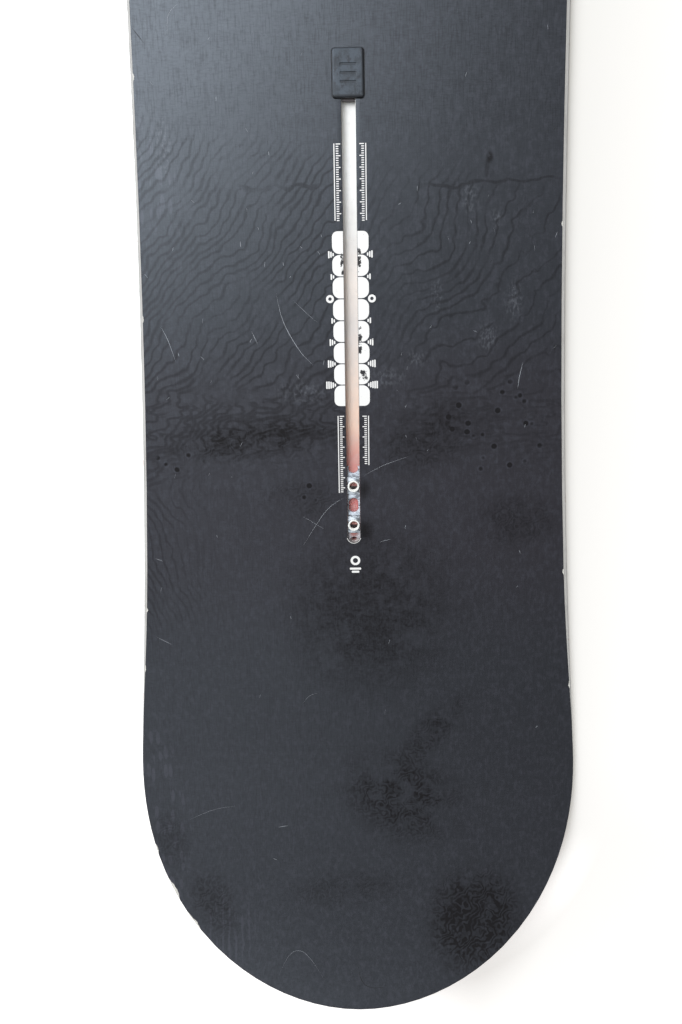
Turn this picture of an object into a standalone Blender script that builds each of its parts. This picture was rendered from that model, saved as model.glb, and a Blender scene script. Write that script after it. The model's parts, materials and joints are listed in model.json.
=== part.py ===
"""Snowboard with two slotted binding channels, modelled layer by layer.

Metres, +Z up, nose towards +Y. The origin is on the running base, at the middle of the
board's length and width. Every layer follows one side profile, so all of them stay parallel.
"""
import math

import bmesh
import bpy
import numpy as np
from mathutils import Vector
from mathutils.geometry import interpolate_bezier

# Plan outline, with every length along Y
LENGTH = 1.494
WAIST_WIDTH = 0.2438
TIP_WIDTH = 0.2842
SETBACK = 0.025              # the waist and the stance lie this far behind the middle
TAIL_ROUND = 0.1508          # tail end to the widest point
NOSE_ROUND = 0.2008
WAIST_HANDLE = 0.400         # curve handles of the sidecut
HIP_HANDLE = 0.0515
TAIL_SIDE_HANDLE = 0.106     # curve handles of the tail and the nose
TAIL_END_HANDLE = 0.063
NOSE_SIDE_HANDLE = 0.140
NOSE_END_HANDLE = 0.068

# Side profile
TAIL_KICK = 0.170            # tail end to where the base leaves the snow
TAIL_KICK_RADIUS = 0.400
NOSE_KICK = 0.215
NOSE_KICK_RADIUS = 0.450
CORE_MID_T = 0.0050          # core thickness underfoot
CORE_END_T = 0.0011          # core thickness at its ends
TAIL_THIN_FROM = 0.292       # distance from the tail end where the core starts to thin
TAIL_THIN_TO = 0.147
NOSE_THIN_FROM = 0.342
NOSE_THIN_TO = 0.197

# Layer thicknesses, from the snow up
BASE_T = 0.0012
FLANGE_T = 0.0004
FOIL_T = 0.0004
LAMINATE_T = 0.0005
TOPSHEET_T = 0.0004
BOND = 0.0003                # bond line between neighbours

# Steel edge
EDGE_W = 0.0020
TOOTH_REACH = 0.0050
TOOTH_PITCH = 0.028
TOOTH_LENGTH = 0.013
TOOTH_MAX_SHARE = 0.7        # a tooth takes no more of the pitch than this
TOOTH_FLARE = 0.0015
EDGE_SEAM = 0.0003
EDGE_TURN = math.radians(4)  # the bar bends by no more than this between two rows

# Sidewalls, core ends and tip spacers
WALL_SETBACK = 0.0005        # from the steel's outer face to the laminates and sidewalls
WALL_W = 0.0090
WALL_BEVEL = 0.0029          # how far the bevelled wall leans in underfoot
TAIL_WALL_END = 0.162        # tail end to the end of the sidewall
NOSE_WALL_END = 0.212
CORE_TAIL_END = 0.100        # tail end to the core's rounded end
CORE_NOSE_END = 0.140
CORE_ROUND = 0.055

# Binding channels: u runs outwards from each foot's reference mark
STANCE = 0.530
SLOT_REACH = 0.1473          # reference mark to the outer end of the slot
MOUTH_W = 0.0076
TOP_REVEAL = 0.0002          # the topsheet's cut is wider than the rail's mouth by this
CAVITY_W = 0.0144
CAVITY_RUN = 0.0035          # the cavity runs on under the outer end of the slot
FLOOR_T = 0.0008
LIP_T = 0.0013
RAIL_WALL = 0.0033
RAIL_CORNER = 0.0030
RAIL_GROOVE = 0.0008
FLOOR_HOLE_D = 0.0014
FLOOR_HOLE_INSET = 0.0021

# Channel plug
PLUG_INSET = 0.1218          # reference mark to the plug's middle, inwards
PLUG_L = 0.0258
PLUG_W = 0.0177
PLUG_PROUD = 0.0016          # the pad stands this far above the topsheet
PLUG_CORNER = 0.0016
PLUG_ROUNDING = 0.0011
PLUG_CLEARANCE = 0.0003      # gap round the pad in the topsheet's opening
STEM_L = 0.0210
STEM_W = 0.0138
STEM_CORNER = 0.0030
ENTRY_CLEARANCE = 0.0003
TONGUE_REACH = 0.0014        # the plug's tongue shows this far past its head
TONGUE_SINK = 0.0012
GRIP_COUNT = 3
GRIP_PITCH = 0.0046
GRIP_L = 0.0094
GRIP_W = 0.0014
GRIP_DEPTH = 0.0005

# Sliding inserts
INSERT_L = 0.0240
INSERT_SIDE_PLAY = 0.0003
INSERT_REST_GAP = 0.0005
INSERT_END_INSET = 0.0110    # outer end of the slot to the outer insert's middle
CARRIER_WEB_T = 0.0008
SCALLOP_R = 0.0030
SCALLOP_INSET = 0.0013
SCREW_RELIEF_D = 0.0064
NUT_FLANGE_L = 0.0104
NUT_FLANGE_W = 0.0130
NUT_FLANGE_T = 0.0012
NUT_FLANGE_CORNER = 0.0010
BOSS_D = 0.0070
BOSS_BELOW_TOP = 0.0006
BOSS_CHAMFER = 0.0002
THREAD_BORE_D = 0.0049

# Fineness of the mesh
KICK_STEP = 0.0095
TAPER_STEP = 0.019
FLAT_STEP = 0.055
TIP_SPAN = 0.036
TIP_ROWS = 10
ROW_GAP = 0.002              # least distance from a row to a cut end
CURVE_POINTS = 161           # points on each of the outline's four curves
CORE_END_POINTS = 33
ROUND_SIDES = 24
CORNER_STEPS = 4
ROUNDING_STEPS = 3
CUT_THROUGH = 0.004          # how far a cutter runs past what it cuts
FINEST = 0.00001             # lengths below this count as none

# Levels above the base that follow from the layers
EDGE_H = BASE_T + BOND + FLANGE_T
FOIL_LOW = BASE_T + BOND
LOWER_LAM_LOW = max(EDGE_H, FOIL_LOW + FOIL_T) + BOND
CORE_LOW = LOWER_LAM_LOW + LAMINATE_T + BOND
RAIL_TOP = CORE_LOW + CORE_MID_T
BOARD_TOP = RAIL_TOP + BOND + LAMINATE_T + BOND + TOPSHEET_T

TAIL_Y = -LENGTH / 2
NOSE_Y = LENGTH / 2


def clear_scene():
    """Removes whatever the start-up file holds."""
    for scene_object in list(bpy.data.objects):
        bpy.data.objects.remove(scene_object, do_unlink=True)


def new_collection(name, parent):
    collection = bpy.data.collections.new(name)
    parent.children.link(collection)
    return collection


def plain_material(name, colour, roughness, metallic=0.0):
    material = bpy.data.materials.new(name)
    material.use_nodes = True
    shader = material.node_tree.nodes["Principled BSDF"]
    shader.inputs["Base Color"].default_value = (*colour, 1.0)
    shader.inputs["Roughness"].default_value = roughness
    shader.inputs["Metallic"].default_value = metallic
    material.diffuse_color = (*colour, 1.0)
    return material


def object_from_bmesh(name, shape, collection, material=None):
    """Turns a bmesh into an object with its faces pointing out."""
    bmesh.ops.remove_doubles(shape, verts=shape.verts, dist=FINEST / 10)
    bmesh.ops.dissolve_degenerate(shape, dist=FINEST / 10, edges=shape.edges)
    bmesh.ops.recalc_face_normals(shape, faces=shape.faces)
    mesh = bpy.data.meshes.new(name)
    shape.to_mesh(mesh)
    shape.free()
    solid = bpy.data.objects.new(name, mesh)
    collection.objects.link(solid)
    if material:
        mesh.materials.append(material)
    return solid


def smooth_step(value):
    value = min(max(value, 0.0), 1.0)
    return value * value * (3.0 - 2.0 * value)


def base_height(y):
    """Height of the running base above the snow: flat, with two round kicks."""
    into_tail = max(0.0, (TAIL_Y + TAIL_KICK) - y)
    into_nose = max(0.0, y - (NOSE_Y - NOSE_KICK))
    tail = TAIL_KICK_RADIUS - math.sqrt(TAIL_KICK_RADIUS ** 2 - into_tail ** 2)
    nose = NOSE_KICK_RADIUS - math.sqrt(NOSE_KICK_RADIUS ** 2 - into_nose ** 2)
    return tail + nose


def thinning(y):
    """0 underfoot and 1 where the core has reached its end thickness."""
    from_tail = y - TAIL_Y
    from_nose = NOSE_Y - y
    tail = (TAIL_THIN_FROM - from_tail) / (TAIL_THIN_FROM - TAIL_THIN_TO)
    nose = (NOSE_THIN_FROM - from_nose) / (NOSE_THIN_FROM - NOSE_THIN_TO)
    return smooth_step(max(tail, nose))


def core_thickness(y):
    return CORE_MID_T + (CORE_END_T - CORE_MID_T) * thinning(y)


def level(height):
    """A surface that stays one height above the base."""
    return lambda y: base_height(y) + height


def above_core(height):
    """A surface that stays one height above the top of the core."""
    return lambda y: base_height(y) + CORE_LOW + core_thickness(y) + height


def bevel_width(y):
    """How far the top of the sidewall lies inside its foot."""
    return WALL_BEVEL * (1.0 - thinning(y))


def outline_points():
    """The right half of the outline as (y, x), from the tail's end to the nose's end."""
    half_tip = TIP_WIDTH / 2
    waist = Vector((-SETBACK, WAIST_WIDTH / 2))
    tail_hip = Vector((TAIL_Y + TAIL_ROUND, half_tip))
    nose_hip = Vector((NOSE_Y - NOSE_ROUND, half_tip))
    tail_end = Vector((TAIL_Y, 0.0))
    nose_end = Vector((NOSE_Y, 0.0))
    along = Vector((1.0, 0.0))
    across = Vector((0.0, 1.0))
    spans = (
        (tail_end, across * TAIL_END_HANDLE, along * -TAIL_SIDE_HANDLE, tail_hip),
        (tail_hip, along * HIP_HANDLE, along * -WAIST_HANDLE, waist),
        (waist, along * WAIST_HANDLE, along * -HIP_HANDLE, nose_hip),
        (nose_hip, along * NOSE_SIDE_HANDLE, across * NOSE_END_HANDLE, nose_end),
    )
    points = []
    for start, start_handle, end_handle, end in spans:
        curve = interpolate_bezier(start, start + start_handle, end + end_handle, end, CURVE_POINTS)
        points.extend(curve[:-1])
    points.append(nose_end)
    return np.array([(point.x, point.y) for point in points])


OUTLINE = outline_points()


def outline_normals(points):
    """Unit normals that point into the board."""
    steps = np.gradient(points, axis=0)
    steps[0] = (0.0, 1.0)
    steps[-1] = (0.0, -1.0)
    normals = np.stack([steps[:, 1], -steps[:, 0]], axis=1)
    return normals / np.linalg.norm(normals, axis=1, keepdims=True)


def inset_outline(inset):
    """The outline moved inwards; inset is a function of y."""
    distances = np.array([inset(y) for y in OUTLINE[:, 0]])
    moved = OUTLINE + outline_normals(OUTLINE) * distances[:, None]
    moved = moved[moved[:, 1] > -1e-9]
    tail = (TAIL_Y + inset(TAIL_Y), 0.0)
    nose = (NOSE_Y - inset(NOSE_Y), 0.0)
    inner = moved[(moved[:, 0] > tail[0]) & (moved[:, 0] < nose[0])]
    return np.vstack([tail, inner, nose])


def constant_inset(distance):
    return inset_outline(lambda y: distance)


def half_width(outline, y):
    return float(np.interp(y, outline[:, 0], outline[:, 1]))


def even_rows(start, end, step):
    return list(np.linspace(start, end, max(1, round(abs(end - start) / step)) + 1))


def stations(outline, low=None, high=None):
    """The rows of a layer: fine in the kicks and the tips, wide apart underfoot."""
    first = outline[0, 0]
    last = outline[-1, 0]
    tail_kick = TAIL_Y + TAIL_KICK
    nose_kick = NOSE_Y - NOSE_KICK
    tail_taper = TAIL_Y + TAIL_THIN_FROM
    nose_taper = NOSE_Y - NOSE_THIN_FROM
    rows = even_rows(TAIL_Y, tail_kick, KICK_STEP) + even_rows(tail_kick, tail_taper, TAPER_STEP)
    rows += even_rows(tail_taper, nose_taper, FLAT_STEP)
    rows += even_rows(nose_taper, nose_kick, TAPER_STEP) + even_rows(nose_kick, NOSE_Y, KICK_STEP)
    rows = [y for y in rows if first + TIP_SPAN < y < last - TIP_SPAN]
    for step in range(TIP_ROWS + 1):
        reach = TIP_SPAN * (step / TIP_ROWS) ** 2
        rows += [first + reach, last - reach]
    if low is not None:
        rows = [y for y in rows if y > low + ROW_GAP] + [low]
    if high is not None:
        rows = [y for y in rows if y < high - ROW_GAP] + [high]
    rows.sort()
    kept = [rows[0]]
    for y in rows[1:]:
        if y - kept[-1] > FINEST:
            kept.append(y)
    return kept


def loft(sections):
    """Joins closed sections of equal counts into one closed bmesh."""
    shape = bmesh.new()
    rings = [[shape.verts.new(point) for point in section] for section in sections]
    count = len(rings[0])
    for ring, following in zip(rings, rings[1:]):
        for index in range(count):
            after = (index + 1) % count
            shape.faces.new((ring[index], ring[after], following[after], following[index]))
    shape.faces.new(rings[0])
    shape.faces.new(list(reversed(rings[-1])))
    return shape


def plate(name, low_outline, high_outline, low_z, high_z, collection, material=None, span=(None, None)):
    """A layer across the whole board, whose edge may lean between two outlines."""
    sections = []
    for y in stations(low_outline, *span):
        low = half_width(low_outline, y)
        high = min(half_width(high_outline, y), low)
        sections.append((
            (-low, y, low_z(y)), (low, y, low_z(y)),
            (high, y, high_z(y)), (-high, y, high_z(y)),
        ))
    return object_from_bmesh(name, loft(sections), collection, material)


def side_strip(name, side, outlines, low_z, high_z, span, collection, material):
    """A strip along one side: outlines are the foot, the top and the inner face."""
    foot, top, inner = outlines
    sections = []
    for y in stations(foot, *span):
        sections.append((
            (side * half_width(foot, y), y, low_z(y)),
            (side * half_width(top, y), y, high_z(y)),
            (side * half_width(inner, y), y, high_z(y)),
            (side * half_width(inner, y), y, low_z(y)),
        ))
    return object_from_bmesh(name, loft(sections), collection, material)


def block(name, size, centre, levels, collection, corner=0.0, material=None, steps=CORNER_STEPS):
    """A box between two levels, whose upright edges are rounded; size and centre are in plan."""
    low, high = levels
    shape = bmesh.new()
    bmesh.ops.create_cube(shape, size=1.0)
    bmesh.ops.scale(shape, vec=(*size, high - low), verts=shape.verts)
    if corner:
        upright = [edge for edge in shape.edges if edge.verts[0].co.xy == edge.verts[1].co.xy]
        radius = min(corner, min(size) / 2 - FINEST)
        bmesh.ops.bevel(shape, geom=upright, offset=radius, segments=steps, profile=0.5, affect="EDGES")
    solid = object_from_bmesh(name, shape, collection, material)
    solid.location = (*centre, (low + high) / 2)
    return solid


def cylinder(name, diameter, centre_y, levels, collection, sides=ROUND_SIDES):
    low, high = levels
    shape = bmesh.new()
    bmesh.ops.create_cone(shape, cap_ends=True, segments=sides, radius1=diameter / 2,
                          radius2=diameter / 2, depth=high - low)
    solid = object_from_bmesh(name, shape, collection)
    solid.location = (0.0, centre_y, (low + high) / 2)
    return solid


def turned(name, profile, centre_y, collection):
    """A round body from a profile of (radius, z) that starts and ends on its axis, top to bottom."""
    shape = bmesh.new()
    points = [shape.verts.new((radius, 0.0, z)) for radius, z in profile]
    for first, second in zip(points, points[1:]):
        shape.edges.new((first, second))
    solid = object_from_bmesh(name, shape, collection)
    solid.location.y = centre_y
    screw = solid.modifiers.new("turn", "SCREW")
    screw.steps = ROUND_SIDES
    screw.render_steps = ROUND_SIDES
    screw.use_merge_vertices = True
    screw.merge_threshold = FINEST
    return solid


def add_cut(solid, cutter, operation="DIFFERENCE"):
    cut = solid.modifiers.new(cutter.name, "BOOLEAN")
    cut.operation = operation
    cut.solver = "EXACT"
    cut.object = cutter


def hide_cutters(collection):
    for cutter in collection.objects:
        cutter.hide_render = True
        cutter.display_type = "WIRE"


def edge_rows():
    """Places along the half outline as (position, inward normal), and each tooth's first and last."""
    lengths = np.linalg.norm(np.diff(OUTLINE, axis=0), axis=1)
    along = np.concatenate([[0.0], np.cumsum(lengths)])
    normals = outline_normals(OUTLINE)

    def place(mark):
        y, x = (float(np.interp(mark, along, OUTLINE[:, axis])) for axis in (0, 1))
        lean_y, lean_x = (float(np.interp(mark, along, normals[:, axis])) for axis in (0, 1))
        return Vector((x, y)), Vector((lean_x, lean_y)).normalized()

    marks = [EDGE_SEAM / 2]

    def run_to(end):
        turn = place(marks[-1])[1].angle(place(end)[1])
        steps = max(1, math.ceil(turn / EDGE_TURN))
        marks.extend(np.linspace(marks[-1], end, steps + 1)[1:])
        return len(marks) - 1

    usable = along[-1] - EDGE_SEAM
    count = max(1, int(usable / TOOTH_PITCH))
    pitch = usable / count
    tooth = min(TOOTH_LENGTH, TOOTH_MAX_SHARE * pitch)
    teeth = []
    for index in range(count):
        start = EDGE_SEAM / 2 + pitch * (index + 0.5) - tooth / 2
        teeth.append((run_to(start), run_to(start + tooth)))
    run_to(along[-1] - EDGE_SEAM / 2)
    return [place(mark) for mark in marks], teeth


def steel_edge(name, side, collection, material):
    """Half of the wrap-around edge: a square steel bar whose anchor teeth lie on the base."""
    places, teeth = edge_rows()
    tooth_low = EDGE_H - FLANGE_T
    shape = bmesh.new()

    def vertex(place, inset, height, slide=0.0):
        position, normal = place
        flat = position + normal * inset + Vector((-normal.y, normal.x)) * slide
        return shape.verts.new((side * flat.x, flat.y, base_height(flat.y) + height))

    def skin(rings, skipped=()):
        """Joins rings; skipped holds the (row, corner) faces to leave open."""
        corners = len(rings[0])
        for row, (ring, following) in enumerate(zip(rings, rings[1:])):
            for corner in range(corners):
                after = (corner + 1) % corners
                if (row, corner) not in skipped:
                    shape.faces.new((ring[corner], ring[after], following[after], following[corner]))
        shape.faces.new(rings[0])
        shape.faces.new(rings[-1])

    bar = []
    for place in places:
        bar.append((
            vertex(place, EDGE_W, EDGE_H), vertex(place, EDGE_W, tooth_low),
            vertex(place, EDGE_W, 0.0), vertex(place, 0.0, 0.0), vertex(place, 0.0, EDGE_H),
        ))
    skin(bar, {(row, 0) for first, last in teeth for row in range(first, last)})
    for first, last in teeth:
        flares = np.linspace(TOOTH_FLARE, -TOOTH_FLARE, last - first + 1)
        tooth = []
        for row, flare in zip(range(first, last + 1), flares):
            tooth.append((
                bar[row][0], bar[row][1],
                vertex(places[row], EDGE_W + TOOTH_REACH, tooth_low, flare),
                vertex(places[row], EDGE_W + TOOTH_REACH, EDGE_H, flare),
            ))
        skin(tooth, {(row, 0) for row in range(last - first)})
    return object_from_bmesh(name, shape, collection, material)


def core_outline(clearance):
    """The core's plan: inside the sidewalls, with a rounded end towards each tip."""
    inset = WALL_SETBACK + WALL_W + BOND - clearance
    sides = constant_inset(inset)
    tail = TAIL_Y + CORE_TAIL_END - clearance
    nose = NOSE_Y - CORE_NOSE_END + clearance
    rows = np.linspace(0.0, 1.0, CORE_END_POINTS)
    rows = rows * rows * (CORE_ROUND + clearance)
    tail_half = half_width(sides, tail + rows[-1])
    nose_half = half_width(sides, nose - rows[-1])
    rise = np.sqrt(np.maximum(0.0, 1.0 - (1.0 - rows / rows[-1]) ** 2))
    tail_end = np.stack([tail + rows, tail_half * rise], axis=1)
    nose_end = np.stack([nose - rows, nose_half * rise], axis=1)[::-1]
    middle = sides[(sides[:, 0] > tail_end[-1, 0]) & (sides[:, 0] < nose_end[0, 0])]
    return np.vstack([tail_end, middle, nose_end])


class Channel:
    """Places along one foot's channel; u grows outwards from its reference mark."""

    def __init__(self, name, mark, outward):
        self.name = name
        self.mark = mark
        self.outward = outward
        self.slot_end = SLOT_REACH
        self.cavity_end = SLOT_REACH + CAVITY_RUN
        self.plug = -PLUG_INSET
        self.entry_end = self.plug - STEM_L / 2 - ENTRY_CLEARANCE
        self.rail_low = self.entry_end - RAIL_WALL
        self.rail_high = self.cavity_end + RAIL_WALL
        self.outer_insert = SLOT_REACH - INSERT_END_INSET
        self.inner_insert = self.outer_insert - INSERT_L - INSERT_REST_GAP

    def y(self, u):
        return self.mark + self.outward * u

    def run(self, u_low, u_high):
        """Length and middle, as a place in plan, of the run between two distances."""
        return abs(u_high - u_low), (0.0, self.y((u_low + u_high) / 2))


CHANNELS = (
    Channel("front", -SETBACK + STANCE / 2, 1),
    Channel("rear", -SETBACK - STANCE / 2, -1),
)


def slot_cutters(label, channel, reveal, levels, cutters):
    """Cutters for the round-ended slot and for the opening under the plug's stem or pad."""
    width = MOUTH_W + 2 * reveal
    length, middle = channel.run(channel.plug, channel.slot_end + reveal)
    mouth = block(f"{label}_mouth_{channel.name}", (width, length), middle, levels, cutters,
                  width / 2, steps=ROUND_SIDES // 4)
    return mouth, entry_cutter(label, channel, reveal, levels, cutters)


def entry_cutter(label, channel, reveal, levels, cutters):
    """Cuts the opening in a layer: as wide as the pad in the topsheet, and as the stem below it."""
    if label == "topsheet":
        size = (PLUG_W + 2 * PLUG_CLEARANCE, PLUG_L + 2 * PLUG_CLEARANCE)
        corner = PLUG_CORNER + PLUG_CLEARANCE
    else:
        slack = ENTRY_CLEARANCE + reveal
        size = (STEM_W + 2 * slack, STEM_L + 2 * slack)
        corner = STEM_CORNER + reveal
    centre = (0.0, channel.y(channel.plug))
    return block(f"{label}_entry_{channel.name}", size, centre, levels, cutters, corner)


def rail_block(name, channel, clearance, levels, collection, material=None):
    """The rail's outer form, or with a clearance the pocket for it."""
    length, middle = channel.run(channel.rail_low - clearance, channel.rail_high + clearance)
    width = CAVITY_W + 2 * (RAIL_WALL + clearance)
    return block(name, (width, length), middle, levels, collection, RAIL_CORNER + clearance, material)


def channel_rail(channel, parts, cutters, material):
    """A moulded rail with a floor, two lips over a wide cavity, and grooves that key it in."""
    rail = rail_block(f"channel_rail_{channel.name}", channel, 0.0, (CORE_LOW, RAIL_TOP), parts, material)
    floor, ceiling = CORE_LOW + FLOOR_T, RAIL_TOP - LIP_T
    length, centre = channel.run(channel.entry_end, channel.cavity_end)
    add_cut(rail, block(f"cavity_{channel.name}", (CAVITY_W, length), centre, (floor, ceiling), cutters,
                        ENTRY_CLEARANCE))
    middle = (floor + ceiling) / 2
    for cutter in slot_cutters("rail", channel, 0.0, (middle, RAIL_TOP + CUT_THROUGH), cutters):
        add_cut(rail, cutter)
    length, centre = channel.run(channel.rail_low + RAIL_CORNER, channel.rail_high - RAIL_CORNER)
    for side in (-1, 1):
        groove_x = side * (CAVITY_W / 2 + RAIL_WALL - RAIL_GROOVE + CUT_THROUGH / 2)
        add_cut(rail, block(f"groove_{channel.name}_{side}", (CUT_THROUGH, length), (groove_x, centre[1]),
                            (middle - RAIL_GROOVE, middle + RAIL_GROOVE), cutters))
    hole_y = channel.y(channel.slot_end - FLOOR_HOLE_INSET)
    add_cut(rail, cylinder(f"floor_hole_{channel.name}", FLOOR_HOLE_D, hole_y,
                           (CORE_LOW - CUT_THROUGH, middle), cutters, ROUND_SIDES // 2))
    return rail


def channel_plug(channel, parts, cutters, material):
    """The rubber plug over the entry: a rounded pad, a stem down the entry and a short tongue."""
    middle = channel.y(channel.plug)
    seat = BOARD_TOP - TOPSHEET_T
    top = BOARD_TOP + PLUG_PROUD
    plug = block(f"channel_plug_{channel.name}", (PLUG_W, PLUG_L), (0.0, middle), (seat, top), parts,
                 PLUG_CORNER, material)
    round_top(plug, PLUG_ROUNDING)
    floor = CORE_LOW + FLOOR_T + BOND
    add_cut(plug, block(f"stem_{channel.name}", (STEM_W, STEM_L), (0.0, middle),
                        (floor, (seat + top) / 2), cutters, STEM_CORNER), "UNION")
    length, centre = channel.run(channel.plug, channel.plug + PLUG_L / 2 + TONGUE_REACH)
    add_cut(plug, block(f"tongue_{channel.name}", (MOUTH_W - 2 * BOND, length), centre,
                        (floor, BOARD_TOP - TONGUE_SINK), cutters, BOND), "UNION")
    for index in range(GRIP_COUNT):
        offset = GRIP_PITCH * (index - (GRIP_COUNT - 1) / 2)
        add_cut(plug, block(f"grip_{channel.name}_{index}", (GRIP_L, GRIP_W), (0.0, middle + offset),
                            (top - GRIP_DEPTH, top + CUT_THROUGH), cutters, GRIP_W / 2))
    return plug


def round_top(solid, radius):
    """Rounds the edges of the top face."""
    shape = bmesh.new()
    shape.from_mesh(solid.data)
    top = max(vertex.co.z for vertex in shape.verts)
    rim = [edge for edge in shape.edges if all(vertex.co.z > top - FINEST for vertex in edge.verts)]
    bmesh.ops.bevel(shape, geom=rim, offset=radius, segments=ROUNDING_STEPS, profile=0.5, affect="EDGES")
    shape.to_mesh(solid.data)
    shape.free()


def insert_carrier(name, middle, parts, cutters, material):
    """The nylon sled that holds a nut square in the cavity, with scalloped ends."""
    low = CORE_LOW + FLOOR_T + BOND
    high = RAIL_TOP - LIP_T - BOND
    through = (low - CUT_THROUGH, high + CUT_THROUGH)
    width = CAVITY_W - 2 * INSERT_SIDE_PLAY
    carrier = block(name, (width, INSERT_L), (0.0, middle), (low, high), parts, BOND, material)
    add_cut(carrier, block(f"{name}_slot", (width + 2 * CUT_THROUGH, NUT_FLANGE_L + 2 * BOND), (0.0, middle),
                           (low + CARRIER_WEB_T, high + CUT_THROUGH), cutters))
    for end in (-1, 1):
        centre = middle + end * (INSERT_L / 2 - SCALLOP_INSET)
        add_cut(carrier, cylinder(f"{name}_scallop_{end}", 2 * SCALLOP_R, centre, through, cutters))
    add_cut(carrier, cylinder(f"{name}_relief", SCREW_RELIEF_D, middle, through, cutters))
    return carrier


def insert_nut(name, middle, parts, cutters, material):
    """The steel T-nut: a flange that bears under the lips and a threaded boss in the slot."""
    flange_high = RAIL_TOP - LIP_T - BOND
    flange_low = flange_high - NUT_FLANGE_T
    boss_top = BOARD_TOP - BOSS_BELOW_TOP
    nut = block(name, (NUT_FLANGE_W, NUT_FLANGE_L), (0.0, middle), (flange_low, flange_high), parts,
                NUT_FLANGE_CORNER, material)
    boss_r = BOSS_D / 2
    boss = turned(f"{name}_boss", (
        (0.0, boss_top), (boss_r - BOSS_CHAMFER, boss_top), (boss_r, boss_top - BOSS_CHAMFER),
        (boss_r, flange_low + NUT_FLANGE_T / 2), (0.0, flange_low + NUT_FLANGE_T / 2),
    ), middle, cutters)
    add_cut(nut, boss, "UNION")
    bore_r = THREAD_BORE_D / 2
    lead = bore_r + BOSS_CHAMFER
    bore = turned(f"{name}_bore", (
        (0.0, boss_top + CUT_THROUGH), (lead, boss_top + CUT_THROUGH), (lead, boss_top),
        (bore_r, boss_top - BOSS_CHAMFER), (bore_r, flange_low - CUT_THROUGH),
        (0.0, flange_low - CUT_THROUGH),
    ), middle, cutters)
    add_cut(nut, bore)
    return nut


def build_layers(parts, cutters, looks):
    """Base, foil, laminates, core, sidewalls, spacers and topsheet."""
    base = constant_inset(EDGE_W + BOND)
    plate("base_sheet", base, base, level(0.0), level(BASE_T), parts, looks["base"])
    foil = constant_inset(EDGE_W + TOOTH_REACH + BOND)
    plate("damping_foil", foil, foil, level(FOIL_LOW), level(FOIL_LOW + FOIL_T), parts, looks["rubber"])
    foot = constant_inset(WALL_SETBACK)
    plate("lower_laminate", foot, foot, level(LOWER_LAM_LOW), level(LOWER_LAM_LOW + LAMINATE_T),
          parts, looks["glass"])

    core_line = core_outline(0.0)
    core = plate("wood_core", core_line, core_line, level(CORE_LOW), above_core(0.0), parts, looks["wood"])
    top_line = inset_outline(lambda y: WALL_SETBACK + bevel_width(y))
    inner_line = constant_inset(WALL_SETBACK + WALL_W)
    wall_span = (TAIL_Y + TAIL_WALL_END, NOSE_Y - NOSE_WALL_END)
    for name, side in (("sidewall_left", -1), ("sidewall_right", 1)):
        side_strip(name, side, (foot, top_line, inner_line), level(CORE_LOW), above_core(0.0),
                   wall_span, parts, looks["sidewall"])

    pocket_line = core_outline(BOND)
    pocket = plate("spacer_pocket", pocket_line, pocket_line, level(EDGE_H), level(RAIL_TOP), cutters)
    spans = {
        "tail_spacer": (None, wall_span[0] - BOND),
        "nose_spacer": (wall_span[1] + BOND, None),
    }
    for name, span in spans.items():
        spacer = plate(name, foot, top_line, level(CORE_LOW), above_core(0.0), parts,
                       looks["spacer"], span)
        add_cut(spacer, pocket)

    laminate = plate("upper_laminate", top_line, top_line, above_core(BOND),
                     above_core(BOND + LAMINATE_T), parts, looks["glass"])
    top_low = BOND + LAMINATE_T + BOND
    topsheet = plate("topsheet", top_line, top_line, above_core(top_low),
                     above_core(top_low + TOPSHEET_T), parts, looks["topsheet"])
    for channel in CHANNELS:
        add_cut(core, rail_block(f"core_pocket_{channel.name}", channel, BOND,
                                 (CORE_LOW - CUT_THROUGH, RAIL_TOP + CUT_THROUGH), cutters))
        levels = (RAIL_TOP - CUT_THROUGH, BOARD_TOP + CUT_THROUGH)
        for label, layer in (("laminate", laminate), ("topsheet", topsheet)):
            for cutter in slot_cutters(label, channel, TOP_REVEAL, levels, cutters):
                add_cut(layer, cutter)


def build_channels(parts, cutters, looks):
    for channel in CHANNELS:
        channel_rail(channel, parts, cutters, looks["rail"])
        channel_plug(channel, parts, cutters, looks["plug"])
        places = (("inner", channel.inner_insert), ("outer", channel.outer_insert))
        for place, u in places:
            label = f"{channel.name}_{place}"
            insert_nut(f"insert_nut_{label}", channel.y(u), parts, cutters, looks["nut"])
            insert_carrier(f"insert_carrier_{label}", channel.y(u), parts, cutters, looks["carrier"])


def shade_round_pieces(parts):
    for solid in parts.objects:
        solid.data.shade_smooth()
        solid.data.set_sharp_from_angle(angle=math.radians(30))


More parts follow.
